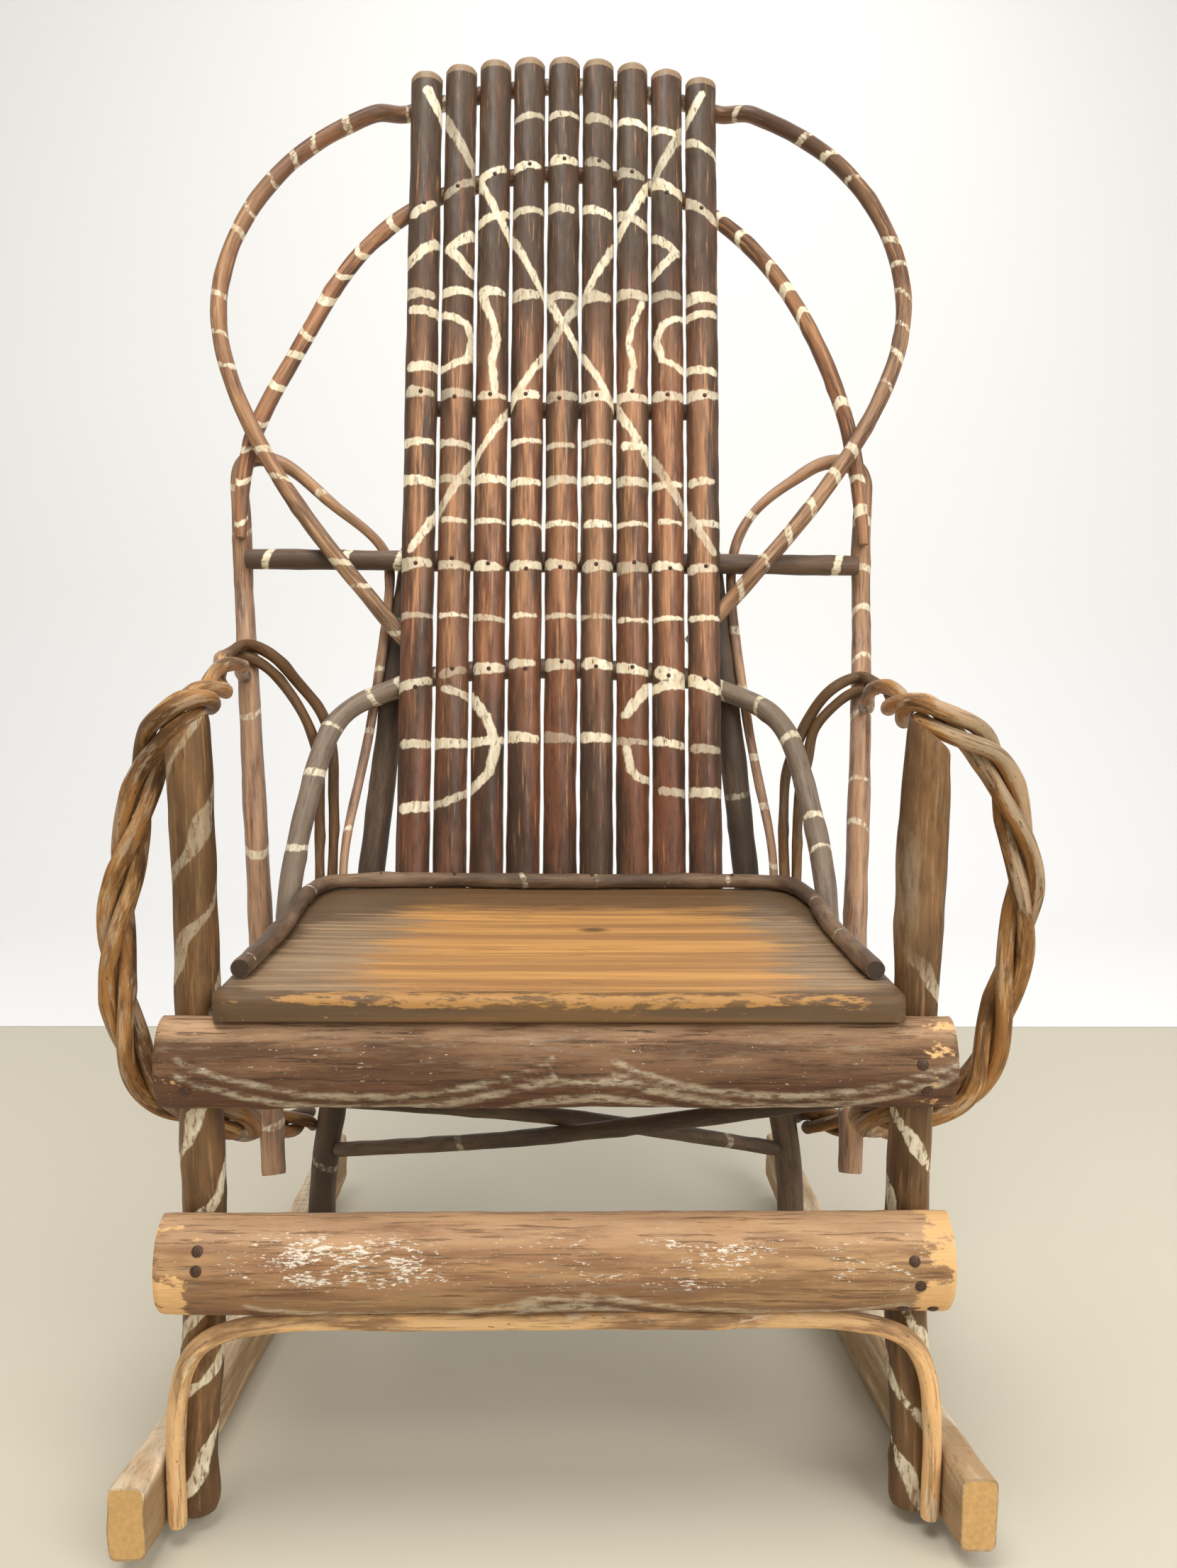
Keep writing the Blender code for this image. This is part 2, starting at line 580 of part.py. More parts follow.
def outer_hoop(name):
    """The large hoop: behind the slats at its top and its ends, in front of the rest at the sides."""
    top = (0.0, OUTER_HOOP_TOP)
    foot = (SLAT_GROUP - SLAT_WIDTH / 2, OUTER_HOOP_FOOT)
    plan = [(x, up, 0.0) for x, up in (top, *zip(OUTER_HOOP_OUT, OUTER_HOOP_UP), foot)]
    path = spline(mirror(plan), samples=480)
    path[:, 0] += OUTER_HOOP_LEAN * (path[:, 1] - OUTER_HOOP_MIDDLE)
    share = np.clip((np.abs(path[:, 0]) - SLAT_GROUP - 0.004) / HOOP_PASS, 0, 1)
    share = share * share * (3 - 2 * share)
    layer = OUTER_HOOP_BACK + (OUTER_HOOP_FRONT - OUTER_HOOP_BACK) * share
    points = [(*back(x, up, n), OUTER_HOOP_RADIUS) for (x, up, _), n in zip(path, layer)]
    return twig(name, points, PAINTED_BARK, BACK_NORMAL)


def of_side(side, left, right):
    """The value that belongs to one side of the chair."""
    return left if side < 0 else right


def arm_height(side):
    return of_side(side, ARM_HEIGHT_LEFT, ARM_HEIGHT_RIGHT)


def arm_up(side):
    """How far up the back the arm crosses the post."""
    return (arm_height(side) - SEAT_HEIGHT) / math.cos(LEAN)


def post_axis(side):
    """Axis points of a back post with radius: butt, bend at the top, tip back down at the seat."""
    seat = seat_half(0) + POST_STANDOFF
    out = of_side(side, POST_OUTWARD_LEFT, POST_OUTWARD_RIGHT)
    sag = of_side(side, POST_TIP_SAG_LEFT, POST_TIP_SAG_RIGHT)
    bend = seat + out
    points = [
        (seat - 0.70 * out, -0.076, POST_BUTT_HEIGHT, POST_BUTT_RADIUS),
        (seat, 0.004, SEAT_HEIGHT, POST_BUTT_RADIUS),
        (*back(seat + 0.55 * out, arm_up(side), POST_BACK - POST_FORWARD), POST_RADIUS + 0.0005),
        (*back(seat + 0.85 * out, (arm_up(side) + POST_BEND_UP) / 2, POST_BACK), POST_RADIUS),
        (*back(bend, POST_BEND_UP, POST_BACK), POST_RADIUS),
        (*back(bend - 0.007, 0.428, POST_BACK), 0.0085),
        (*back(bend - 0.027, 0.434 - 0.2 * sag, POST_BACK), 0.0075),
        (*back(0.240, 0.415 - sag, TIP_BACK), TIP_RADIUS + 0.001),
        (*back(0.202, 0.385 - sag, TIP_BACK), TIP_RADIUS),
        (*back(0.178, 0.345 - 0.5 * sag, TIP_BACK), TIP_RADIUS),
        (*back(0.173, 0.290, TIP_BACK), TIP_RADIUS),
        (*back(0.180, 0.220, TIP_BACK), TIP_RADIUS),
        (*back(0.189, 0.155, TIP_BACK), 0.0048),
        (*back(0.199, 0.085, 0.010), 0.0046),
        (*back(0.205, 0.030, -0.008), 0.0042),
        (0.2055, POST_TIP_RADIUS + FIT, SEAT_HEIGHT - 0.010, POST_TIP_RADIUS),
    ]
    return to_side(points, side)


def back_post(name, side):
    return twig(name, spline(post_axis(side), samples=480), PAINTED_BARK, BACK_NORMAL, turn=0.28)


def post_at(up, side):
    """Axis point of a post at a distance up the back: x, y, z, radius."""
    path = spline(post_axis(side), samples=480)
    rise = path[:, 2]
    top = int(np.argmax(rise))
    z = back(0, up, POST_BACK)[2]
    return np.array([np.interp(z, rise[:top], path[:top, i]) for i in range(4)])


def behind(point):
    """Distance of a point behind the plane of the slats' flat backs."""
    return (point[1] - SLAT_PLANE_Y) * math.cos(LEAN) - (point[2] - SEAT_HEIGHT) * math.sin(LEAN)


def hoop_side(side):
    """Points of one side of the inner hoop, from under its top to its end on the post."""
    tail_up = CROSS_BAR_UP + BAR_RADIUS + INNER_HOOP_TAIL
    tail = np.abs(post_at(tail_up, side))
    meet = np.abs(post_at(tail_up + 0.07, side))
    front = behind(tail) - tail[3] - FIT
    bend = [(x, up, INNER_HOOP_BACK, INNER_HOOP_RADIUS) for x, up in zip(INNER_HOOP_OUT, INNER_HOOP_UP)]
    return [
        *bend,
        (meet[0] - 0.013, tail_up + 0.09, INNER_HOOP_BACK, INNER_HOOP_RADIUS),
        (tail[0] - 0.002, tail_up, front - INNER_HOOP_TIP_RADIUS, INNER_HOOP_TIP_RADIUS),
    ]


def inner_hoop(name):
    """The second hoop, its thin ends nailed down the front of the posts."""
    top = (0.0, INNER_HOOP_TOP, INNER_HOOP_BACK, INNER_HOOP_RADIUS)
    left = [(-x, *rest) for x, *rest in reversed(hoop_side(-1))]
    path = spline([*left, top, *hoop_side(1)], samples=480)
    points = [(*back(x, up, n), r) for x, up, n, r in path]
    return twig(name, points, PAINTED_BARK, BACK_NORMAL)


def cross_bar(name):
    past = POST_BACK - BAR_BACK - BAR_RADIUS
    ends = []
    for side in (-1, 1):
        post = post_at(CROSS_BAR_UP, side)
        ends.append(post[0] - side * (math.sqrt(post[3] ** 2 - past ** 2) + FIT))
    points = [(*back(x, CROSS_BAR_UP, BAR_BACK), BAR_RADIUS) for x in np.linspace(*ends, 7)]
    return twig(name, points, PAINTED_BARK, BACK_NORMAL, longest=0.2)


def middle_bar(name):
    half = SLAT_GROUP - SLAT_WIDTH / 4
    layer = MIDDLE_BAR_RADIUS + FIT
    points = [(*back(x, MIDDLE_BAR_UP, layer), MIDDLE_BAR_RADIUS) for x in np.linspace(-half, half, 5)]
    return twig(name, points, PAINTED_BARK, BACK_NORMAL, longest=0.2)


def lower_hoop(name):
    """The low hoop behind the slats, its ends brought forward down the sides of the seat."""
    half = [
        (0.0, LOWER_HOOP_TOP, BAR_BACK),
        (0.090, LOWER_HOOP_TOP - 0.004, BAR_BACK),
        (SLAT_GROUP - 0.010, LOWER_HOOP_TOP - 0.015, BAR_BACK),
        (SLAT_GROUP + 0.005, LOWER_HOOP_TOP - 0.021, BAR_BACK),
    ]
    for x, up, ahead in zip(LOWER_HOOP_OUT, LOWER_HOOP_UP, LOWER_HOOP_FORWARD):
        half.append((x, up, -ahead))
    points = [(*back(*p), BAR_RADIUS) for p in half]
    for y, z in ((-0.070, SEAT_HEIGHT), (-0.079, SEAT_UNDERSIDE), (-0.085, SEAT_UNDERSIDE - 0.015)):
        points.append((seat_half(y) + FIT + BAR_RADIUS, y, z, BAR_RADIUS))
    path = spline(mirror(points), samples=480)
    for p in path:
        if abs(p[0]) < SLAT_GROUP:
            p[:3] += (BAR_BACK - behind(p)) * np.array(BACK_NORMAL)
    return twig(name, path, PAINTED_BARK, BACK_NORMAL)


# Arms

def arm_path(side):
    """Middle line of an arm's strands, from the rear leg round and on towards the post, as on the right.

    Also gives the place in the list where the arm lies on top of the front leg.
    """
    leg = front_leg_axis(1)[-1]
    axis = leg[0]
    slope = np.array((math.cos(ARM_SLANT), 0, -math.sin(ARM_SLANT)))
    over_leg = leg[:3] + ARM_CUT * (ARM_RADIUS + FIT) + np.array((0, ARM_ON_LEG_BACK, 0))
    past_leg = over_leg - slope * 0.006 + np.array((0, 0.012, 0))
    behind_leg = FRONT_LEG_Y + FRONT_LEG_RADIUS + FIT + ARM_RADIUS
    rear, _ = at_height(spline(rear_leg_axis(1)), ARM_FOOT_HEIGHT)
    foot_x = rear[0] + REAR_LEG_RADIUS + FIT + ARM_RADIUS
    butt, _ = at_height(post_shaft(side), ARM_POST_HEIGHT)
    by_post = butt + unit((0.96, 0.28, 0)) * (POST_BUTT_RADIUS + FIT + ARM_RADIUS)
    loop = []
    forward = np.linspace(0, ARM_LOOP_FORWARD, len(ARM_LOOP_HEIGHTS))
    for out, z, ahead in zip(of_side(side, ARM_LOOP_LEFT, ARM_LOOP_RIGHT), ARM_LOOP_HEIGHTS, forward):
        loop.append((axis + out, behind_leg - ahead, z))
    rise = over_leg[2]
    post, _ = at_height(post_shaft(side), arm_height(side))
    reach = post[0] - axis
    climb = arm_height(side) + 0.008 - rise
    points = [
        (foot_x, rear[1] + 0.030, ARM_FOOT_HEIGHT - 0.010),
        (foot_x, rear[1], ARM_FOOT_HEIGHT),
        tuple(by_post),
        (axis + 0.029, FRONT_LEG_Y + 0.170, 0.222),
        (axis + 0.003, behind_leg, 0.287),
        *loop,
        tuple(over_leg),
        tuple(past_leg),
        (axis + 0.12 * reach, FRONT_LEG_Y + 0.055, rise + 0.13 * climb),
        (axis + 0.29 * reach, FRONT_LEG_Y + 0.130, rise + 0.36 * climb),
        (axis + 0.53 * reach, FRONT_LEG_Y + 0.226, rise + 0.62 * climb),
    ]
    return points, points.index(tuple(over_leg))


def nearest(path, point):
    return int(np.argmin(np.linalg.norm(path[:, :3] - np.asarray(point), axis=1)))


def strand_line(index, side):
    """One strand wound round the arm's middle line, and its sample over the leg."""
    points, over_leg = arm_path(side)
    path = spline(points, samples=600)
    way = tangents(path)
    across = transported(way, np.array((0.0, 0.0, 1.0)))
    beside = np.cross(way, across)
    run = np.concatenate([[0.0], np.cumsum(np.linalg.norm(np.diff(path, axis=0), axis=1))])
    over = nearest(path, points[over_leg])
    first = math.atan2(-np.dot(ARM_CUT, beside[over]), -np.dot(ARM_CUT, across[over]))
    angle = first + 2 * math.pi * ((run[over] - run) / TWIST_PITCH + index / STRANDS)
    offset = across * np.cos(angle)[:, None] + beside * np.sin(angle)[:, None]
    radius = np.full(len(path), STRAND_RADIUS)
    return np.column_stack([path + STRAND_LAY * offset, radius]), over


def post_shaft(side):
    """Axis of a post from its butt to its bend, as on the right."""
    path = to_side(spline(post_axis(side), samples=480), side)
    return path[:int(np.argmax(path[:, 2]))]


def arm_post_front(side, radius, lift, way):
    """Centre of a strand that lies across the front of a back post, running along a way."""
    path = post_shaft(side)
    height = arm_height(side) + lift
    post, axis = at_height(path, height)
    thick = np.interp(height, path[:, 2], path[:, 3])
    return post + unit(np.cross(axis, way)) * (thick + FIT + radius)


def wound(index, side):
    """Rings of a strand as far as it is wound with the others, and the ring that lies over the leg."""
    line, over = strand_line(index, side)
    return line[over % STRAND_STEP::STRAND_STEP], over // STRAND_STEP


def run_out(rings, points):
    """A strand carried on past its last wound ring through more points."""
    last = rings[-3:]
    tail = spline([tuple(p) for p in last] + points)
    start = nearest(tail, last[-1, :3])
    return np.vstack([rings[:-1], stations(tail[start:], 0.03, 0.36)])


def arm_strand_1(name, side):
    """The strand that lies on the leg and ends just past it."""
    rings, over = wound(0, side)
    steps = np.linalg.norm(np.diff(rings[over:, :3], axis=0), axis=1)
    past = int(np.searchsorted(np.cumsum(steps), STRAND_PAST_LEG))
    return arm_piece(name, rings[:over + past + 1], side)


def arm_strand_2(name, side):
    """The strand that ends on the front of the back post."""
    rings, _ = wound(1, side)
    x, y, z = arm_post_front(side, 0.3 * STRAND_RADIUS, -STRAND_2_DROP, (-1.0, 0.0, 0.0))
    tail = [(x - 0.016, y - 0.075, z + 0.004, STRAND_RADIUS), (x, y, z, STRAND_RADIUS)]
    return arm_piece(name, run_out(rings, tail), side)


def arm_strand_3(name, side):
    """The strand that crosses the back post and runs down inside it to the corner of the seat."""
    rings, _ = wound(2, side)
    radius = SHOOT_RADIUS
    x, y, z = arm_post_front(side, radius, SHOOT_LIFT, SHOOT_CROSSING)
    up = arm_up(side)
    tail = [
        (x + 0.006, y - 0.018, z - 0.004, radius),
        (x, y, z, radius),
        (*back(x - 0.026, up + 0.003, -0.011), radius),
        (*back(x - 0.044, up - 0.016, -0.002), radius),
        (*back(0.2360, up - 0.046, 0.0065), radius),
        (*back(0.2230, up - 0.080, 0.007), TAIL_RADIUS),
        (*back(0.2197, (up - 0.021) / 2, 0.0035), TAIL_RADIUS),
        (*back(0.2170, 0.059, -0.004), TAIL_RADIUS),
        (0.2165, STRAND_TIP_RADIUS + FIT, SEAT_UNDERSIDE + 0.006, STRAND_TIP_RADIUS),
    ]
    return arm_piece(name, run_out(rings, tail), side)


def arm_tail(name, side):
    """A thin shoot beside the third strand, from the front of the post to the corner of the seat."""
    radius = TAIL_RADIUS
    x, y, z = arm_post_front(side, radius, -TAIL_DROP, TAIL_CROSSING)
    up = arm_up(side)
    points = [
        (x + 0.018, y - 0.004, z + 0.001, radius),
        (x, y, z, radius),
        (*back(x - 0.026, up - 0.017, -0.006), radius),
        (*back(x - 0.044, up - 0.041, -0.001), radius),
        (*back(0.2425, up - 0.068, 0.001), radius),
        (*back(0.2345, up - 0.098, 0.001), radius),
        (*back(0.2318, (up - 0.041) / 2, -0.0035), radius),
        (*back(0.2295, 0.057, -0.010), radius),
        (0.2270, STRAND_TIP_RADIUS + FIT, SEAT_UNDERSIDE + 0.006, STRAND_TIP_RADIUS),
    ]
    return arm_piece(name, stations(spline(points), 0.03, 0.36), side)


def arm_piece(name, path, side):
    return rounds(name, to_side(path, side), BARE_TWIG, (0.3, 0.2, 1.0), 6)


# Assembly

def build():
    clear_scene()
    for side, word in ((-1, "left"), (1, "right")):
        rocker(f"rocker_{word}", side)
        front_leg(f"front_leg_{word}", side)
        rear_leg(f"rear_leg_{word}", side)
        side_seat_rail(f"side_seat_rail_{word}", side)
        back_post(f"back_post_{word}", side)
        arm_strand_1(f"arm_strand_1_{word}", side)
        arm_strand_2(f"arm_strand_2_{word}", side)
        arm_strand_3(f"arm_strand_3_{word}", side)
        arm_tail(f"arm_tail_{word}", side)
    front_seat_rail("front_seat_rail")
    lower_front_rail("lower_front_rail")
    front_brace("front_brace")
    rear_seat_rail("rear_seat_rail")
    stretcher("x_stretcher_1", -1, -1)
    stretcher("x_stretcher_2", 1, 1)
    seat_board("seat_board")
    seat_rim_twig("seat_rim_twig")
    for index in range(SLAT_COUNT):
        back_slat(f"back_slat_{index + 1}", index)
    outer_hoop("outer_hoop")
    inner_hoop("inner_hoop")
    cross_bar("cross_bar")
    middle_bar("middle_bar")
    lower_hoop("lower_hoop")
    centre()


def centre():
    """Parents every piece to one empty that puts the chair's box over the origin."""
    pieces = [item for item in bpy.data.objects if item.type == "MESH"]
    corners = np.array([v.co for item in pieces for v in item.data.vertices])
    low, high = corners.min(axis=0), corners.max(axis=0)
    chair = bpy.data.objects.new("chair", None)
    bpy.context.collection.objects.link(chair)
    for item in pieces:
        item.parent = chair
    chair.location = (-(low[0] + high[0]) / 2, -(low[1] + high[1]) / 2, -low[2])


build()
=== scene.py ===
"""Looks of a rustic rocking chair: knobbly saplings, worn paint with cream strokes, plank seat, nails.

Every piece is rebuilt finer from the shape of its solid in the frame, so it lies where the solid lies.
"""
import math

import bpy
import numpy as np
from mathutils import Matrix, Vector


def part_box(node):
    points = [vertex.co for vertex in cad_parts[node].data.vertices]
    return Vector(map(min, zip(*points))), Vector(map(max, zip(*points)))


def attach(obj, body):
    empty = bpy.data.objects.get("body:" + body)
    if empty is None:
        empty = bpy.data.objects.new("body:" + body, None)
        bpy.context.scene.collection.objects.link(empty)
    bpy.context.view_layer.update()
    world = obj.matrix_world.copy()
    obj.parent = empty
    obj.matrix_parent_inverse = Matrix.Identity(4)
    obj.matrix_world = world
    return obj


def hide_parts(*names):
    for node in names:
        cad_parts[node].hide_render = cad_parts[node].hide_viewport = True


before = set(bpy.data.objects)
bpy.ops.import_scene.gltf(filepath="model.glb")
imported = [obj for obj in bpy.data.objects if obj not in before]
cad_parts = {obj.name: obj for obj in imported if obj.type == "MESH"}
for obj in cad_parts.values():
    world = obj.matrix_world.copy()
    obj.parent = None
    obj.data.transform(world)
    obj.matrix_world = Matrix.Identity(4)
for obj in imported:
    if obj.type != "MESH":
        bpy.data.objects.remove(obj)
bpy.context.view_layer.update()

# Camera, as found from the photograph
IMAGE_HEIGHT = 2212
FOCAL_PIXELS = 1662.0
SENSOR_HEIGHT = 36.0
CAMERA_PLACE = (-0.0036, -1.0140, 0.6048)
CAMERA_PITCH = math.radians(6.05)
CAMERA_YAW = math.radians(1.51)
CAMERA_ROLL = math.radians(-0.5)

# Paint and wood, linear colours
CREAM = (0.95, 0.87, 0.65)
CREAM_WORN = (0.76, 0.64, 0.44)
SLAT_DARK = (0.066, 0.036, 0.022)
SLAT_WARM = (0.190, 0.074, 0.037)
# worn warm wood, also the painted highlight on the slats' ridge and on the inner hoop's front
SLAT_WORN_AND_HIGHLIGHT = (0.560, 0.285, 0.140)
SLAT_GREY = (0.082, 0.054, 0.035)
HOOP_DARK = (0.090, 0.045, 0.026)
HOOP_WARM = (0.240, 0.108, 0.052)
# worn warm wood, also the painted highlight on the front of the hoops and posts
HOOP_WORN_AND_HIGHLIGHT = (0.560, 0.325, 0.166)
HOOP_GREY = (0.230, 0.172, 0.118)
BAR_DARK = (0.100, 0.064, 0.042)
BAR_WARM = (0.170, 0.104, 0.066)
GREY_HOOP_DARK = (0.105, 0.076, 0.062)
GREY_HOOP_WARM = (0.250, 0.182, 0.146)
POST_GREY = (0.360, 0.240, 0.185)
RIM_DARK = (0.100, 0.061, 0.037)
RIM_WARM = (0.240, 0.150, 0.088)
SHADED_DARK = (0.078, 0.054, 0.037)
SHADED_WARM = (0.160, 0.106, 0.067)
LEG_DARK = (0.082, 0.041, 0.016)
LEG_WARM = (0.195, 0.098, 0.037)
LEG_WORN = (0.360, 0.200, 0.088)
LEG_GREY = (0.300, 0.240, 0.165)
RAIL_BROWN = (0.265, 0.148, 0.073)
RAIL_DARK = (0.110, 0.056, 0.026)
LOWER_RAIL_BROWN = (0.500, 0.295, 0.138)
LOWER_RAIL_DARK = (0.290, 0.155, 0.070)
# dark red-brown of the stained ribbons, also laid low on the rails as painted shade
RAIL_STAIN_AND_SHADE = (0.105, 0.042, 0.022)
RAIL_RUDDY = (0.250, 0.115, 0.062)
RAIL_BARE = (0.930, 0.560, 0.245)
# pale painted highlight along the top of the rails
RAIL_TOP_HIGHLIGHT = (0.640, 0.400, 0.230)
FLECK_WHITE = (0.860, 0.800, 0.680)
CUT_WOOD = (0.360, 0.245, 0.145)
GOLDEN = (0.400, 0.188, 0.056)
GOLDEN_PALE = (0.620, 0.370, 0.155)
GOLDEN_DARK = (0.120, 0.055, 0.018)
BRACE_DARK = (0.330, 0.180, 0.085)
BRACE_PALE = (0.820, 0.510, 0.240)
# grey weathered bark, also the painted highlight on the outer side of the arms
GREY_BARK_AND_HIGHLIGHT = (0.480, 0.360, 0.230)
SEAT_GOLD = (0.600, 0.310, 0.096)
SEAT_BROWN = (0.360, 0.180, 0.065)
# grey weathered wood, made paler as a painted sheen on the seat's borders
SEAT_GREY_AND_SHEEN = (0.370, 0.268, 0.165)
SEAT_DARK = (0.092, 0.052, 0.025)
SAWN_PALE = (0.820, 0.670, 0.480)
SAWN_GREY = (0.440, 0.290, 0.155)
SAWN_END = (0.740, 0.450, 0.175)
# brown of a board's sides, partly painted shade
SAWN_SIDE_SHADE = (0.340, 0.210, 0.100)
IRON = (0.060, 0.040, 0.032)
RUST = (0.150, 0.068, 0.034)
FLOOR_COLOUR = (0.60, 0.56, 0.455)
SHEET_COLOUR = (0.90, 0.90, 0.90)

# Reading solids of the frame

X_WAY, Y_WAY = (1, 0, 0), (0, 1, 0)
OUTLINE_POINTS = 44
WELD_DECIMALS = 5
SAME_PLANE = 0.9998  # how nearly the normals of faces of one flat end agree
NEARLY_ROUND = 1.4  # largest over smallest radius of a round end
DOUBLE = 0.0005  # points of an outline that lie closer than this are one
CUT_INSET = 0.0003  # how far inside its ends a long solid is cut for its outlines
LEVEL_SLACK = 0.0011  # how far the corners of one ring of a long solid may lie apart along it


def welded(node):
    """Corner points of a solid with doubles joined, and its triangles."""
    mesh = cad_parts[node].data
    points = np.array([v.co for v in mesh.vertices])
    points, place = np.unique(np.round(points, WELD_DECIMALS), axis=0, return_inverse=True)
    mesh.calc_loop_triangles()
    faces = np.array([t.vertices for t in mesh.loop_triangles])
    return points, place.reshape(-1)[faces]


def unit(vector):
    vector = np.asarray(vector, float)
    return vector / np.linalg.norm(vector)


def edge_keys(face):
    return [tuple(sorted((face[i - 1], face[i]))) for i in range(3)]


def end_ring(points, faces):
    """Corner numbers of one flat round end of a tube."""
    a, b, c = (points[faces[:, i]] for i in range(3))
    normals = np.cross(b - a, c - a)
    normals = normals / np.maximum(np.linalg.norm(normals, axis=1), 1e-12)[:, None]
    by_edge = {}
    for number, face in enumerate(faces):
        for edge in edge_keys(face):
            by_edge.setdefault(edge, []).append(number)
    ends, seen = [], set()
    for start in range(len(faces)):
        if start in seen:
            continue
        group, queue = {start}, [start]
        while queue:
            for edge in edge_keys(faces[queue.pop()]):
                for other in by_edge[edge]:
                    if other not in group and abs(normals[other] @ normals[start]) > SAME_PLANE:
                        group.add(other)
                        queue.append(other)
        seen |= group
        corners = sorted({v for face in group for v in faces[face]})
        spread = np.linalg.norm(points[corners] - points[corners].mean(axis=0), axis=1)
        if len(group) >= 4 and spread.max() < NEARLY_ROUND * spread.min():
            ends.append(corners)
    return min(ends, key=lambda corners: tuple(np.round(points[corners].mean(axis=0), 4)))


def tube_rings(node):
    """Middle and radius of every ring of a tube, and the planes of its two ends as (place, normal)."""
    points, faces = welded(node)
    near = [set() for _ in points]
    for face in faces:
        for corner in face:
            near[corner].update(face)
    ring, done, loops = set(end_ring(points, faces)), set(), []
    while ring:
        loops.append(points[sorted(ring)])
        done |= ring
        ring = {v for old in ring for v in near[old]} - done
    middles = np.array([loop.mean(axis=0) for loop in loops])
    rows = []
    for loop, middle, way in zip(loops, middles, np.gradient(middles, axis=0)):
        spoke = loop - middle
        spoke = spoke - np.outer(spoke @ unit(way), unit(way))
        rows.append((*middle, np.linalg.norm(spoke, axis=1).mean()))
    planes = [(middles[i], np.linalg.svd(loops[i] - middles[i])[2][2]) for i in (0, -1)]
    return np.array(rows), planes


def spline(rows, step):
    """A natural cubic curve through rows of numbers that start with x, y, z, in even steps."""
    chord = np.linalg.norm(np.diff(rows[:, :3], axis=0), axis=1)
    along = np.concatenate([[0.0], np.cumsum(chord)])
    size = len(rows)
    system = np.eye(size)
    right = np.zeros_like(rows)
    for i in range(1, size - 1):
        before, after = chord[i - 1], chord[i]
        system[i, i - 1:i + 2] = before, 2 * (before + after), after
        right[i] = 6 * ((rows[i + 1] - rows[i]) / after - (rows[i] - rows[i - 1]) / before)
    bend = np.linalg.solve(system, right)
    at = np.linspace(0, along[-1], max(4, int(along[-1] / step)))
    i = np.clip(np.searchsorted(along, at) - 1, 0, size - 2)
    width = chord[i][:, None]
    low = (along[i + 1] - at)[:, None] / width
    high = 1 - low
    bow = (low ** 3 - low) * bend[i] + (high ** 3 - high) * bend[i + 1]
    return low * rows[i] + high * rows[i + 1] + bow * width ** 2 / 6, at


def corner_turns(loop):
    """How far an outline turns at each of its points."""
    before = loop - np.roll(loop, 1, axis=0)
    after = np.roll(loop, -1, axis=0) - loop
    cross = before[:, 0] * after[:, 1] - before[:, 1] * after[:, 0]
    return np.abs(np.arctan2(cross, (before * after).sum(axis=1)))


def cross_section(points, faces, place, level):
    """Corner points of the outline of a solid on the plane where its place along an axis is level."""
    edges = np.sort(np.vstack([faces[:, [0, 1]], faces[:, [1, 2]], faces[:, [2, 0]]]), axis=1)
    a, b = np.unique(edges, axis=0).T
    crossing = (place[a] - level) * (place[b] - level) < 0
    a, b = a[crossing], b[crossing]
    share = (level - place[a]) / (place[b] - place[a])
    return points[a] + share[:, None] * (points[b] - points[a])


def tidy_loop(flat):
    """Points of a convex outline in turn, without doubles."""
    spoke = flat - flat.mean(axis=0)
    loop = flat[np.argsort(np.arctan2(spoke[:, 1], spoke[:, 0]))]
    kept = [loop[0]]
    for point in loop[1:]:
        if min(np.linalg.norm(point - kept[-1]), np.linalg.norm(point - kept[0])) > DOUBLE:
            kept.append(point)
    return np.array(kept)


def corner_runs(loop, anchors):
    """The stretches of an outline between its sharpest corners, from the one at the lower left onwards."""
    sharp = np.sort(np.argsort(corner_turns(loop))[-anchors:])
    spoke = loop[sharp] - (loop.min(axis=0) + loop.max(axis=0)) / 2
    turn = np.mod(np.arctan2(spoke[:, 1], spoke[:, 0]) + math.pi, math.tau)
    sharp = np.roll(sharp, -int(np.argmin(turn)))
    runs = []
    for a, b in zip(sharp, np.roll(sharp, -1)):
        numbers = np.arange(a, b + 1 if b > a else b + 1 + len(loop)) % len(loop)
        runs.append(loop[numbers])
    return runs


def run_lengths(runs):
    return np.array([np.linalg.norm(np.diff(run, axis=0), axis=1).sum() for run in runs])


def fine_outline(runs, counts, soft):
    """An outline in many points, softened at its corners, and as wide and high as before."""
    fine = []
    for run, count in zip(runs, counts):
        chord = np.concatenate([[0.0], np.cumsum(np.linalg.norm(np.diff(run, axis=0), axis=1))])
        even = np.linspace(0, chord[-1], count, endpoint=False)
        fine.append(np.column_stack([np.interp(even, chord, run[:, i]) for i in (0, 1)]))
    fine = np.vstack(fine)
    low, high = fine.min(axis=0), fine.max(axis=0)
    for _ in range(soft):
        fine = (np.roll(fine, 1, axis=0) + 2 * fine + np.roll(fine, -1, axis=0)) / 4
    share = (fine - fine.min(axis=0)) / (fine.max(axis=0) - fine.min(axis=0))
    return low + share * (high - low)


def outlines(node, axis, across, anchors, soft):
    """Fine outlines of a long solid where its own rings lie: places along the axis, outlines, and axes."""
    points, faces = welded(node)
    axis, across = unit(axis), unit(across)
    upward = np.cross(axis, across)
    place = points @ axis
    marks = np.unique(np.round(place, 3))
    levels = np.array([place[np.abs(place - mark) < LEVEL_SLACK].mean() for mark in marks])
    found = []
    for level in np.clip(levels, place.min() + CUT_INSET, place.max() - CUT_INSET):
        corners = cross_section(points, faces, place, level + CUT_INSET / 3)
        loop = tidy_loop(np.column_stack([corners @ across, corners @ upward]))
        found.append(corner_runs(loop, anchors))
    shares = np.mean([run_lengths(runs) / run_lengths(runs).sum() for runs in found], axis=0)
    counts = np.maximum(2, np.round(shares * OUTLINE_POINTS)).astype(int)
    fine = np.array([fine_outline(runs, counts, soft) for runs in found])
    return levels, fine, (axis, across, upward)


# Building meshes

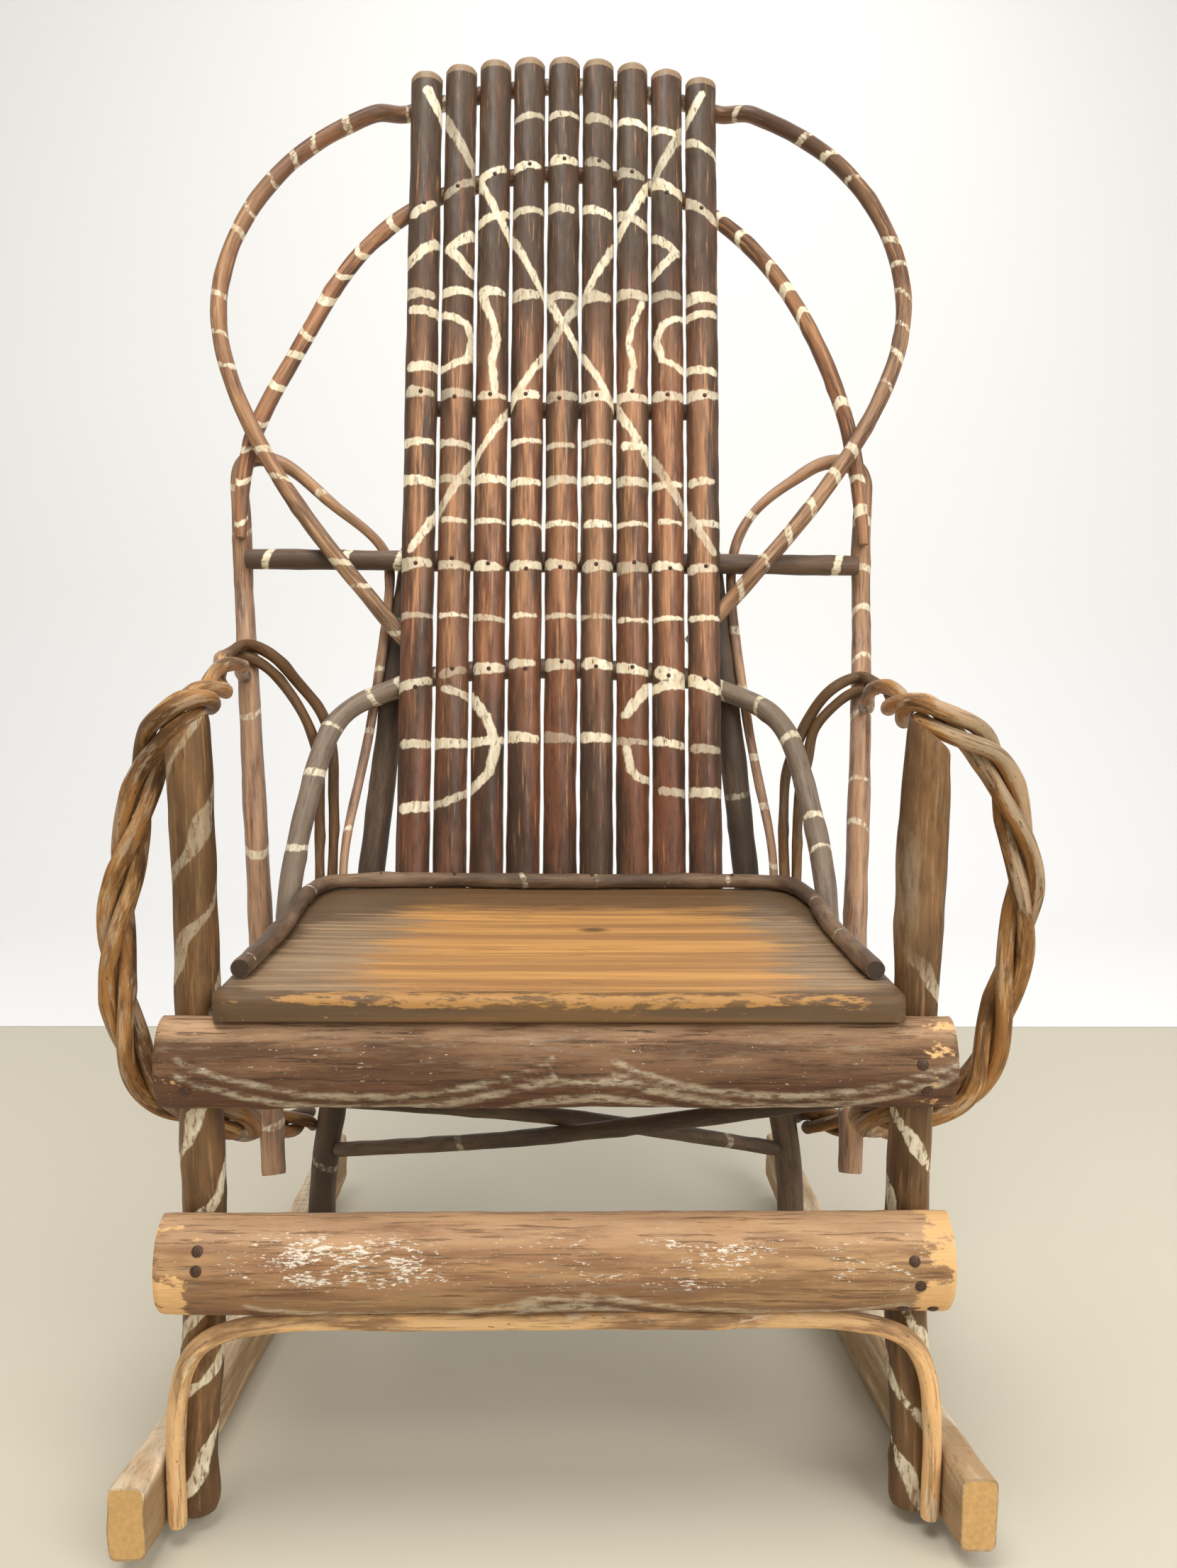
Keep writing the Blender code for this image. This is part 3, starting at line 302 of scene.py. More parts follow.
SHARP_ANGLE = math.radians(48)
CAP_SHARES = (0.86, 0.45)  # sizes of the inner rings of an end cap
BARE = 1.0  # stroke distance of a place with no paint, far from any stroke
RING_STEP = 0.004
TWIG_SIDES = 16
END_RUN = 0.030  # length of a sapling that leans into a slanted end
END_EDGES = ((0, 0.92), (1, 0.985), (-1, 0.92), (-2, 0.985))  # end rings of a sapling, and their size
KNOT_LENGTH = 0.007
SWELL_WAVES = ((2, 0.090), (3, 0.055), (1, 0.210))  # ridges round a sapling, and the length of one turn
GRAIN_SHIFT = 0.37  # so that no two saplings show the same stretch of noise
STRIPE_SLOPE = 0.65  # distance square to a stripe, for each unit along the leg
WEATHER_WAVES = ((0.16, 1.0), (0.06, 0.6), (0.025, 0.3))


def ripple(seed, at, waves):
    """A smooth random line: sines of the given lengths, each with its own height and phase."""
    draw = np.random.default_rng(seed)
    total = np.zeros_like(at)
    for length, height in waves:
        total += height * np.sin(math.tau * at / length + draw.uniform(0, math.tau))
    return total


def smooth(value, low, high):
    """From 0 to 1 as a value goes from low to high."""
    share = np.clip((value - low) / (high - low), 0, 1)
    return share * share * (3 - 2 * share)


def bell(value, middle, half):
    """1 at the middle, falling away over about half a width on each side."""
    return np.exp(-((value - middle) / half) ** 2)


def wear_of(rubbed=0.0, greyed=0.0, stained_and_shaded=0.0):
    """Wear, painted shade and painted highlight at each point in three shares, which each material reads in
    its own way.
    """
    return np.stack(np.broadcast_arrays(rubbed, greyed, stained_and_shaded), axis=2)


def set_attribute(mesh, name, values):
    """A number or a vector at each point of a mesh."""
    values = np.asarray(values, np.float32)
    kind, field = ("FLOAT_VECTOR", "vector") if values.ndim == 2 else ("FLOAT", "value")
    mesh.attributes.new(name, kind, "POINT").data.foreach_set(field, values.ravel())


def linked(name, data):
    """A new object in the scene."""
    made = bpy.data.objects.new(name, data)
    bpy.context.collection.objects.link(made)
    return made


def finish_piece(name, mesh, material, nodes):
    """Shades and places a piece, hangs it under the root body and hides the solids it stands for."""
    mesh.validate()
    mesh.shade_smooth()
    mesh.set_sharp_from_angle(angle=SHARP_ANGLE)
    mesh.materials.append(material)
    piece = linked(name, mesh)
    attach(piece, "root")
    if nodes:
        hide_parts(*nodes)


def strip(low, high, sides):
    """Faces between two rings of points, each given by its first point."""
    return [(low + j, low + (j + 1) % sides, high + (j + 1) % sides, high + j) for j in range(sides)]


def fan(ring, tip, sides):
    """Faces from a ring of points to one point in its middle."""
    return [(ring + j, ring + (j + 1) % sides, tip) for j in range(sides)]


def capped(rows):
    """Values at the points of a piece, then at those of its end caps, between end ring and middle."""
    ends = []
    for row in (rows[0], rows[-1]):
        middle = row.mean(axis=0)
        ends += [middle + (row - middle) * share for share in CAP_SHARES]
        ends.append(middle[None])
    return np.concatenate([rows.reshape(-1, *rows.shape[2:]), *ends])


def skin(name, rings, grain, material, nodes, stroke=BARE, cut=0.0, wear=0.0):
    """A closed piece through rings of points, with capped ends, that stands for CAD nodes.

    stroke is the distance to the nearest painted stroke, and cut is 1 where bare wood was cut.
    """
    count, sides = rings.shape[:2]
    faces = []
    for i in range(count - 1):
        faces += strip(i * sides, (i + 1) * sides, sides)
    start = count * sides
    for row in (0, count - 1):
        loops = [row * sides, start, start + sides]
        tip = start + len(CAP_SHARES) * sides
        around = fan(loops[-1], tip, sides)
        for low, high in zip(loops, loops[1:]):
            around += strip(low, high, sides)
        faces += around if row else [face[::-1] for face in around]
        start = tip + 1
    mesh = bpy.data.meshes.new(name)
    mesh.from_pydata(capped(rings).tolist(), [], faces)
    bare = capped(np.broadcast_to(cut, (count, sides)))
    bare[count * sides:] = 1.0
    set_attribute(mesh, "grain", capped(grain))
    set_attribute(mesh, "stroke", capped(np.broadcast_to(stroke, (count, sides))))
    set_attribute(mesh, "cut", bare)
    set_attribute(mesh, "wear", capped(np.broadcast_to(wear, rings.shape)))
    finish_piece(name, mesh, material, nodes)


def frames(path):
    """Direction and two side vectors at every point of a path, without twist."""
    step = np.diff(path, axis=0)
    step /= np.linalg.norm(step, axis=1)[:, None]
    way = np.vstack([step[:1], step[1:] + step[:-1], step[-1:]])
    way /= np.linalg.norm(way, axis=1)[:, None]
    first = np.eye(3)[int(np.argmin(np.abs(way[0])))]
    across = [unit(first - way[0] * (first @ way[0]))]
    for direction in way[1:]:
        last = across[-1]
        across.append(unit(last - direction * (last @ direction)))
    across = np.array(across)
    return way, across, np.cross(way, across)


def knots(seed, at, spacing, height):
    """Swellings along a sapling where its side shoots grew, with the angle that each looks to."""
    draw = np.random.default_rng(seed)
    places = np.arange(spacing * draw.uniform(0.2, 0.8), at[-1], spacing)
    places = places + draw.uniform(-0.3, 0.3, len(places)) * spacing
    return [(place, draw.uniform(0, math.tau), height * draw.uniform(0.4, 1.2)) for place in places]


def lean_into_ends(rings, way, at, planes):
    """Moves the rings near each end along the sapling, so that the last one lies on the solid's own end."""
    for row, (place, normal), away in ((0, planes[0], at), (-1, planes[1], at[-1] - at)):
        offset = -((rings[row] - place) @ normal) / (way[row] @ normal)
        share = np.clip(1 - away / END_RUN, 0, 1)
        rings = rings + share[:, None, None] * offset[None, :, None] * way[:, None, :]
    return rings


def twig(node, material, seed, paint=None, wear=None, rough=0.035, spacing=0.085, lump=0.10):
    """A sapling rebuilt along its solid, with swells and knots, and paint and wear where they are given."""
    rows, planes = tube_rings(node)
    path, at = spline(rows, RING_STEP)
    way, across, beside = frames(path[:, :3])
    radius = path[:, 3] * (1 + ripple(seed, at, ((0.13, rough * 0.6), (0.05, rough * 0.4))))
    angle = math.tau * np.arange(TWIG_SIDES) / TWIG_SIDES
    cos, sin = np.cos(angle), np.sin(angle)
    size = radius[:, None] * np.ones(TWIG_SIDES)
    for turns, length in SWELL_WAVES:
        draw = np.random.default_rng(seed + turns)
        wave = turns * angle + math.tau * at[:, None] / length + draw.uniform(0, math.tau)
        size *= 1 + rough * 0.35 * np.sin(wave)
    for place, looks, height in knots(seed, at, spacing, lump):
        facing = 0.25 + 0.75 * np.exp(-(1 - np.cos(angle - looks)) * 3)
        size *= 1 + height * bell(at, place, KNOT_LENGTH)[:, None] * facing
    for row, share in END_EDGES:
        size[row] *= share
    spoke = across[:, None] * cos[:, None] + beside[:, None] * sin[:, None]
    rings = lean_into_ends(path[:, None, :3] + size[:, :, None] * spoke, way, at, planes)
    grain = np.stack(np.broadcast_arrays(at[:, None] + seed * GRAIN_SHIFT, size * cos, size * sin), axis=2)
    stroke = paint(at[:, None], angle[None, :], radius[:, None], seed) if paint else BARE
    worn = wear(rings, spoke) if wear else 0.0
    name = node.removesuffix("_twig") + "_sapling"
    skin(name, rings, grain, material, [node], stroke, wear=worn)


def bands(period, half_width, lean=0.8, missing=0.12):
    """A paint of cream bands across a sapling, at uneven steps, some leaning, some worn away."""
    def paint(at, angle, radius, seed):
        draw = np.random.default_rng(seed + 77)
        stroke = np.full(np.broadcast_shapes(at.shape, angle.shape), BARE)
        place = period * draw.uniform(0.2, 0.8)
        while place < at.max():
            middle = place + lean * draw.uniform(0.3, 1.2) * radius * np.sin(angle + draw.uniform(-0.6, 0.6))
            half = half_width * draw.uniform(0.55, 1.2)
            if draw.uniform() > missing:
                stroke = np.minimum(stroke, np.abs(at - middle) - half)
            place += period * draw.uniform(0.75, 1.3)
        return stroke
    return paint


def spiral(pitch, starts, half_width, hand):
    """A paint of stripes wound steeply along a leg like a barber's pole."""
    def paint(at, angle, radius, seed):
        turn = np.mod(starts * (at / pitch - hand * angle / math.tau), 1.0)
        wander = ripple(seed + 5, at, ((0.11, 0.005), (0.04, 0.003)))
        half = half_width * (1 + ripple(seed + 6, at, ((0.09, 0.30), (0.033, 0.20))))
        return (np.abs((turn - 0.5) * pitch / starts + wander) - half) * STRIPE_SLOPE
    return paint


def planed(levels, fine, step):
    """Outlines in close steps along a long solid, straight from each of its own to the next."""
    at = np.linspace(levels[0], levels[-1], int((levels[-1] - levels[0]) / step))
    at = np.unique(np.concatenate([at, levels]))
    columns = fine.reshape(len(levels), -1).T
    flat = np.stack([np.interp(at, levels, column) for column in columns], axis=1)
    return at, flat.reshape(len(at), -1, 2)


def outward(flat):
    """Outward directions of the points of each outline."""
    along = np.roll(flat, -1, axis=1) - np.roll(flat, 1, axis=1)
    turned = np.stack([along[:, :, 1], -along[:, :, 0]], axis=2)
    return turned / np.maximum(np.linalg.norm(turned, axis=2), 1e-9)[:, :, None]


def weathered(at, flat, seed, height):
    """The outlines moved in and out a little, in swells that run along the piece."""
    draw = np.random.default_rng(seed)
    share = np.arange(flat.shape[1]) / flat.shape[1] * math.tau
    move = np.zeros(flat.shape[:2])
    for turns in (1, 2, 3, 5):
        for length, amount in WEATHER_WAVES:
            phase = draw.uniform(0, math.tau)
            move += amount * np.sin(turns * share + math.tau * at[:, None] / length + phase) / 4
    return flat + outward(flat) * (height * move)[:, :, None]


def rebuilt(solid, step, seed=0, height=0.0, shift=0.0):
    """Points of a long piece in close, weathered outlines, and their grain: along it, then across it."""
    levels, fine, (axis, across, upward) = solid
    at, flat = planed(levels, fine, step)
    flat = weathered(at, flat, seed, height)
    points = at[:, None, None] * axis + flat[:, :, :1] * across + flat[:, :, 1:] * upward
    along = np.broadcast_to(at[:, None, None] + shift, (*flat.shape[:2], 1))
    return points, np.concatenate([along, flat], axis=2)


# Materials

SHEEN = 0.28  # wood and paint are duller than plastic
RAGGED = 0.0014  # how far the edge of a stroke wanders
MIX_A, MIX_B, MIX_RESULT = 6, 7, 2  # colour sockets of a mix node


def shade(colour, share):
    return tuple(share * c for c in colour)


class Look:
    """A Principled material: a ground colour, coats of other colours over it, and bumps."""

    def __init__(self, name, ground):
        self.material = bpy.data.materials.new(name)
        self.material.use_nodes = True
        self.tree = self.material.node_tree
        self.shader = self.tree.nodes["Principled BSDF"]
        self.shader.inputs["Specular IOR Level"].default_value = SHEEN
        self.grain = self.attribute("grain", "Vector")
        self.colour = ground
        self.normal = None

    def join(self, value, socket):
        """Links an output to a socket, or sets a plain value on it."""
        if isinstance(value, bpy.types.NodeSocket):
            self.tree.links.new(value, socket)
        else:
            socket.default_value = (*value, 1.0) if socket.type == "RGBA" else value

    def node(self, kind, inputs, **settings):
        made = self.tree.nodes.new(kind)
        for key, value in settings.items():
            setattr(made, key, value)
        for key, value in inputs.items():
            self.join(value, made.inputs[key])
        return made

    def attribute(self, name, output):
        return self.node("ShaderNodeAttribute", {}, attribute_name=name).outputs[output]

    def shares(self, name):
        """The three numbers of a vector attribute."""
        split = self.node("ShaderNodeSeparateXYZ", {"Vector": self.attribute(name, "Vector")})
        return [split.outputs[axis] for axis in "XYZ"]

    def math(self, operation, *values):
        return self.node("ShaderNodeMath", dict(enumerate(values)), operation=operation).outputs[0]

    def times(self, a, b):
        return self.math("MULTIPLY", a, b)

    def ramp(self, value, rise, start):
        return self.math("MULTIPLY_ADD", value, rise, start)

    def noise(self, scale, detail=4.0, rough=0.55):
        """Noise with its own scale along the grain, across it and, where that differs, through it."""
        scale = (*scale, scale[-1])[:3]
        place = self.node("ShaderNodeMapping", {"Vector": self.grain, "Scale": scale}).outputs["Vector"]
        values = {"Vector": place, "Scale": 1.0, "Detail": detail, "Roughness": rough}
        return self.node("ShaderNodeTexNoise", values).outputs["Fac"]

    def step(self, value, low, high):
        """From 0 to 1 as a value goes from low to high, smoothly."""
        values = {"Value": value, "From Min": low, "From Max": high}
        return self.node("ShaderNodeMapRange", values, interpolation_type="SMOOTHSTEP").outputs["Result"]

    def patches(self, scale, low, high, detail=4.0, rough=0.55, lift=None):
        """Where noise goes from low to high. A lift is a share that raises the noise, and by how much."""
        value = self.noise(scale, detail, rough)
        if lift:
            value = self.math("MULTIPLY_ADD", *lift, value)
        return self.step(value, low, high)

    def mix(self, factor, a, b):
        made = self.node("ShaderNodeMix", {"Factor": factor, MIX_A: a, MIX_B: b}, data_type="RGBA")
        return made.outputs[MIX_RESULT]

    def coat(self, colour, share, amount=None):
        """Lays a colour over what is there, by a share that an amount can lessen."""
        if amount is not None:
            share = self.times(share, amount)
        self.colour = self.mix(share, self.colour, colour)

    def bump(self, value, distance, strength):
        values = {"Strength": strength, "Distance": distance, "Height": value}
        if self.normal is not None:
            values["Normal"] = self.normal
        self.normal = self.node("ShaderNodeBump", values).outputs["Normal"]

    def cut_ends(self, colour):
        """Sawn or whittled ends show bare wood."""
        bare = self.mix(self.noise((300, 300), 3), colour, shade(colour, 0.6))
        ragged = self.ramp(self.noise((120, 500), 3), 0.5, -0.25)
        self.coat(bare, self.step(self.math("ADD", self.attribute("cut", "Fac"), ragged), 0.4, 0.6))

    def strokes(self, cover, wear, faded=None, soft=1.0):
        """Cream paint where the stroke distance is below 0, uneven at its edge and rubbed thin in places."""
        uneven = self.ramp(self.noise((70, 150), 3), 4 * RAGGED, -2 * RAGGED)
        edge = self.math("ADD", self.attribute("stroke", "Fac"), uneven)
        inside = self.math("SUBTRACT", 1.0, self.step(edge, -0.0010 * soft, 0.0008 * soft))
        rubbed = self.patches((90, 300), wear - 0.06, wear + 0.08, 5, 0.68)
        kept = self.times(inside, self.ramp(rubbed, -0.85 * cover, cover))
        if faded is not None:
            kept = self.times(kept, self.ramp(faded, -0.9, 1.0))
        self.bump(kept, 0.0005, 0.6)
        self.coat(self.mix(self.patches((60, 180), 0.35, 0.65), CREAM, CREAM_WORN), kept)

    def done(self, roughness):
        self.join(self.colour, self.shader.inputs["Base Color"])
        self.join(roughness, self.shader.inputs["Roughness"])
        self.join(self.normal, self.shader.inputs["Normal"])
        return self.material


def painted(name, dark, warm, worn, grey, roughness, cover=0.95, wear=0.60, cut=CUT_WOOD):
    """Thin brown paint over smooth bark, rubbed to warm wood in short streaks, with cream strokes, and
    lighter where the rubbed share is high, partly as a painted highlight.
    """
    look = Look(name, dark)
    rubbed, greyed, faded = look.shares("wear")
    look.coat(warm, look.patches((7, 40), 0.38, 0.62))
    look.coat(grey, look.patches((18, 110), 0.26, 0.52), greyed)
    look.coat(shade(dark, 0.75), look.patches((38, 190), 0.46, 0.64, 5, 0.68), 0.55)
    look.coat(worn, look.patches((16, 300), 0.57, 0.76, 6, 0.66, lift=(rubbed, 0.14)), 0.75)
    # where the rubbed share is high: worn wood and a painted highlight on the slats' ridge and on the front
    # of hoops and posts
    look.coat(worn, look.times(rubbed, look.patches((9, 60), 0.34, 0.62, 4, 0.6)), 0.65)
    look.coat(shade(dark, 0.45), look.patches((14, 460), 0.58, 0.68, 5, 0.66), 0.6)
    look.bump(look.noise((40, 420), 5), 0.0006, 0.5)
    look.bump(look.noise((18, 90), 3), 0.0012, 0.35)
    look.strokes(cover, wear, faded)
    look.cut_ends(cut)
    return look.done(look.ramp(look.noise((20, 260)), 0.34, roughness - 0.17))


def rail_log(name, brown, dark):
    """Brown half-log: worn bark, stained ribbons, painted shade low down, a painted highlight along the top,
    cream strokes, white flecks, bare ends.
    """
    look = Look(name, dark)
    rubbed, flecked, stained_and_shaded = look.shares("wear")
    look.coat(brown, look.patches((10, 90), 0.40, 0.60, 6, 0.66))
    look.coat(RAIL_RUDDY, look.patches((5, 34), 0.44, 0.60, 3), 0.45)
    look.coat(LEG_GREY, look.patches((34, 300), 0.54, 0.64, 6, 0.72), 0.45)
    # stain in the ribbons under the swags, and painted shade darkening the rail towards its foot
    look.coat(RAIL_STAIN_AND_SHADE, look.times(stained_and_shaded, look.patches((20, 130), 0.28, 0.46)), 0.85)
    # painted highlight along the top of a rail, where the third share is below zero
    top_highlight = look.step(look.times(stained_and_shaded, -1.0), 0.0, 0.8)
    look.coat(RAIL_TOP_HIGHLIGHT, look.times(top_highlight, look.patches((14, 120), 0.26, 0.56, 5, 0.66)), 0.55)
    look.coat(shade(dark, 0.4), look.patches((15, 420), 0.54, 0.62, 6, 0.68), 0.7)
    look.strokes(0.42, 0.53, soft=2.0)
    patchy = look.times(flecked, look.patches((28, 70), 0.36, 0.62, 4, 0.6))
    look.coat(FLECK_WHITE, look.patches((170, 640), 0.66, 0.71, 4, 0.75, lift=(patchy, 0.19)), 0.85)
    bare = look.mix(look.noise((20, 330), 5, 0.65), RAIL_BARE, shade(RAIL_BARE, 0.65))
    look.coat(bare, look.patches((30, 60), 0.68, 0.74, 6, 0.68, lift=(rubbed, 0.30)))
    look.bump(look.noise((30, 300), 6, 0.65), 0.0012, 0.7)
    look.bump(look.noise((16, 70), 3), 0.0018, 0.4)
    look.cut_ends(SAWN_GREY)
    return look.done(look.ramp(look.noise((20, 200)), 0.3, 0.48))


def bare_bark(name, dark, golden, pale, grey):
    """Bare golden saplings with grey weathered skin, partly a painted highlight, dark creases, fine
    lengthwise wrinkles, and painted shade where an arm passes behind the posts.
    """
    look = Look(name, dark)
    rubbed, greyed, stained_and_shaded = look.shares("wear")
    look.coat(golden, look.patches((15, 62), 0.34, 0.58, 5, 0.6))
    look.coat(pale, look.patches((18, 120), 0.53, 0.63, 5, 0.66, lift=(rubbed, 0.25)), 0.75)
    # grey weathered skin, also a painted highlight, on the outer side of the arms
    look.coat(grey, look.patches((24, 130), 0.54, 0.62, 6, 0.7, lift=(greyed, 0.2)), 0.7)
    wrinkle = look.noise((20, 430), 6, 0.66)
    look.coat(shade(dark, 0.5), look.step(wrinkle, 0.53, 0.63), 0.55)
    # painted shade on the arms behind the posts
    look.coat(shade(dark, 0.7), stained_and_shaded, 0.85)
    look.coat(shade(dark, 0.4), look.patches((110, 330), 0.66, 0.72, 3), 0.8)
    look.bump(wrinkle, 0.0014, 0.8)
    look.bump(look.noise((26, 120)), 0.0018, 0.5)
    look.cut_ends(CUT_WOOD)
    return look.done(look.ramp(look.noise((30, 200)), 0.34, 0.34))


def seat_plank(name):
    """A worn plank: long grain across the chair, golden in the middle, grey with a painted sheen and dark
    towards its edges, with painted shade along the left side.
    """
    look = Look(name, SEAT_BROWN)
    chipped, greyed, darkened = look.shares("wear")
    growth = look.noise((1.8, 60, 40), 6, 0.66)
    look.coat(SEAT_GOLD, look.step(growth, 0.40, 0.62))
    smudge = look.ramp(look.noise((5, 46, 30), 7, 0.70), 2.2, -1.1)
    # grey weathered border towards the sides, made paler as a painted sheen
    streaked = look.mix(look.patches((3, 150, 90), 0.40, 0.62, 6, 0.7), shade(SEAT_GREY_AND_SHEEN, 0.45), SEAT_GREY_AND_SHEEN)
    look.coat(streaked, look.step(look.math("ADD", greyed, smudge), 0.25, 0.75), 0.85)
    # darker towards the rear, the sides and the front face, with painted shade along the left side
    look.coat(SEAT_DARK, look.step(look.math("ADD", darkened, smudge), 0.35, 0.95), 0.85)
    look.coat(shade(SEAT_BROWN, 0.5), look.patches((14, 55, 40), 0.56, 0.72, 6, 0.70), 0.45)
    fine = look.noise((8, 520, 300), 6, 0.66)
    look.coat(shade(SEAT_BROWN, 0.45), look.step(fine, 0.50, 0.66), 0.55)
    chips = look.patches((40, 150), 0.65, 0.75, 6, 0.68, lift=(chipped, 0.26))
    look.coat(shade(SEAT_GOLD, 0.85), chips, 0.75)
    look.coat(GOLDEN_PALE, look.patches((90, 420, 200), 0.68, 0.74, 4, 0.72), 0.4)
    knot = look.math("SUBTRACT", 1.0, look.step(look.attribute("stroke", "Fac"), -0.004, 0.004))
    look.coat(shade(SEAT_DARK, 0.8), knot, 0.8)
    look.bump(fine, 0.0004, 0.5)
    look.bump(growth, 0.0007, 0.4)
    return look.done(look.ramp(look.noise((14, 60)), 0.3, 0.38))


def sawn_board(name, pale, grey):
    """Rough sawn board: cross-cut saw marks, sides darker, partly as painted shade, orange end grain."""
    look = Look(name, grey)
    _, sides, _ = look.shares("wear")
    look.coat(pale, look.patches((6, 40, 90), 0.36, 0.66, 5))
    # brown sides under the paler top, partly painted shade
    look.coat(SAWN_SIDE_SHADE, look.times(sides, look.patches((10, 60), 0.26, 0.56, 5, 0.66)), 0.85)
    marks = look.noise((260, 40, 30), 3)
    look.coat(shade(grey, 0.5), look.step(marks, 0.55, 0.7), 0.3)
    grain = look.noise((12, 330, 520), 4, 0.6)
    look.coat(shade(grey, 0.45), look.step(grain, 0.54, 0.7), 0.5)
    look.bump(marks, 0.0007, 0.5)
    look.bump(grain, 0.0006, 0.5)
    look.cut_ends(SAWN_END)
    return look.done(look.ramp(look.noise((30, 90), 3), 0.2, 0.68))


def nail_iron(name):
    look = Look(name, IRON)
    rust = look.noise((900, 900))
    look.coat(RUST, look.step(rust, 0.45, 0.65))
    look.shader.inputs["Metallic"].default_value = 0.45
    look.bump(rust, 0.0003, 0.5)
    return look.done(0.5)


SLAT = painted("painted_slat", SLAT_DARK, SLAT_WARM, SLAT_WORN_AND_HIGHLIGHT, SLAT_GREY, 0.40)
HOOP = painted("painted_hoop", HOOP_DARK, HOOP_WARM, HOOP_WORN_AND_HIGHLIGHT, HOOP_GREY, 0.40, 0.75, 0.54)
POST = painted("painted_post", HOOP_DARK, HOOP_WARM, HOOP_WORN_AND_HIGHLIGHT, POST_GREY, 0.40, 0.75, 0.54)
GREY_HOOP = painted("greyed_hoop", GREY_HOOP_DARK, GREY_HOOP_WARM, HOOP_GREY, HOOP_GREY, 0.46, 0.8, 0.56)
BAR = painted("painted_bar", BAR_DARK, BAR_WARM, HOOP_WARM, HOOP_GREY, 0.48, 0.9)
SHADED = painted("dark_sapling", SHADED_DARK, SHADED_WARM, HOOP_DARK, LEG_GREY, 0.58, 0.4, 0.5)
RIM = painted("rim_sapling", RIM_DARK, RIM_WARM, HOOP_WARM, HOOP_GREY, 0.50, 0.6, 0.5, SHADED_DARK)
LEG = painted("painted_leg", LEG_DARK, LEG_WARM, LEG_WORN, LEG_GREY, 0.50, 0.8, 0.56)
RAIL = rail_log("rail_log", RAIL_BROWN, RAIL_DARK)
LOWER_RAIL = rail_log("lower_rail_log", LOWER_RAIL_BROWN, LOWER_RAIL_DARK)
BARK = bare_bark("bare_sapling", GOLDEN_DARK, GOLDEN, GOLDEN_PALE, GREY_BARK_AND_HIGHLIGHT)
BRACE = bare_bark("pale_sapling", BRACE_DARK, BRACE_PALE, RAIL_BARE, SAWN_PALE)
SEAT = seat_plank("seat_plank")
BOARD = sawn_board("sawn_board", SAWN_PALE, SAWN_GREY)
CLEAT = sawn_board("shaded_board", SAWN_GREY, SHADED_WARM)
NAIL = nail_iron("nail_iron")


# Back

def back_axes():
    """Where the slats' flat backs lie: a point at the height of the seat, the way up, the way behind."""
    points, _ = welded("back_slat_5")
    centred = points - points.mean(axis=0)
    up = np.linalg.svd(centred, full_matrices=False)[2][0]
    up = unit(up * np.sign(up[2]) * np.array((0, 1, 1)))
    behind = np.array((0.0, up[2], -up[1]))
    rear = points[np.argmax(points @ behind)]
    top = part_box("seat_board")[1].z
    origin = rear + up * (top - rear[2]) / up[2]
    return np.array((0.0, origin[1], top)), up, behind


BACK, UP, BEHIND = back_axes()
ALL = range(1, 10)  # the slats, from the left

# Painted rows: height in the middle, how fast the row falls to the sides, half its thickness, its slats
ROWS = (
    (0.782, 1.6, 0.0040, range(4, 10)),
    (0.731, 2.5, 0.0048, ALL),
    (0.682, 2.6, 0.0045, (1, 3, 4, 5, 6, 7)),
    (0.589, 0.0, 0.0048, ALL),
    (0.484, 0.0, 0.0050, ALL),
    (0.434, 0.0, 0.0034, (1, 2, 4, 5, 6, 7)),
    (0.395, 0.0, 0.0044, ALL),
    (0.353, 0.0, 0.0032, range(2, 10)),
    (0.310, 0.0, 0.0050, ALL),
    (0.258, 0.0, 0.0026, ALL),
    (0.213, 1.0, 0.0046, ALL),
    (0.139, 0.4, 0.0042, ALL),
)
ROW_SHIFT = 0.0022
NAILED_ROWS = (1, 4, 8, 10)

# Painted lines, as places across and up the back: for a pair, the left one, and its mirror is the right one
DIAGONAL = ((-0.140, 0.806), (-0.004, 0.561), (0.147, 0.324))
SMALL_OVAL = ((-0.150, 0.570), (-0.120, 0.567), (-0.099, 0.558), (-0.093, 0.541), (-0.098, 0.521),
              (-0.118, 0.512), (-0.150, 0.510))
LARGE_OVAL = ((-0.114, 0.187), (-0.090, 0.180), (-0.073, 0.158), (-0.063, 0.131), (-0.069, 0.105),
              (-0.087, 0.087), (-0.114, 0.075), (-0.150, 0.070))
RIGHT_OVAL_TOP = ((0.120, 0.195), (0.095, 0.191), (0.084, 0.187), (0.064, 0.162))
RIGHT_OVAL_FOOT = ((0.064, 0.129), (0.068, 0.109), (0.076, 0.102), (0.085, 0.100))
RIGHT_OVAL_END = ((0.096, 0.089), (0.122, 0.086), (0.153, 0.085))
LONG_CURVE = ((-0.080, 0.583), (-0.069, 0.556), (-0.066, 0.540), (-0.071, 0.516), (-0.067, 0.488))
BENT_STROKE = ((-0.092, 0.653), (-0.115, 0.636), (-0.092, 0.612))
PAIR = (1, -1)
ONE = (1,)
LINES = ((DIAGONAL, 0.0044, PAIR), (SMALL_OVAL, 0.0046, PAIR), (LARGE_OVAL, 0.0046, ONE),
         (RIGHT_OVAL_TOP, 0.0046, ONE), (RIGHT_OVAL_FOOT, 0.0042, ONE), (RIGHT_OVAL_END, 0.0044, ONE),
         (LONG_CURVE, 0.0036, PAIR), (BENT_STROKE, 0.0044, PAIR))
LINE_SHIFT = 0.0016


def to_line(x, up, start, end):
    """Distance of points from a straight stroke on the plane of the back, and the share along it."""
    way = np.subtract(end, start)
    length = np.linalg.norm(way)
    way = way / length
    along = np.clip((x - start[0]) * way[0] + (up - start[1]) * way[1], 0, length)
    return np.hypot(x - start[0] - along * way[0], up - start[1] - along * way[1]), along / length


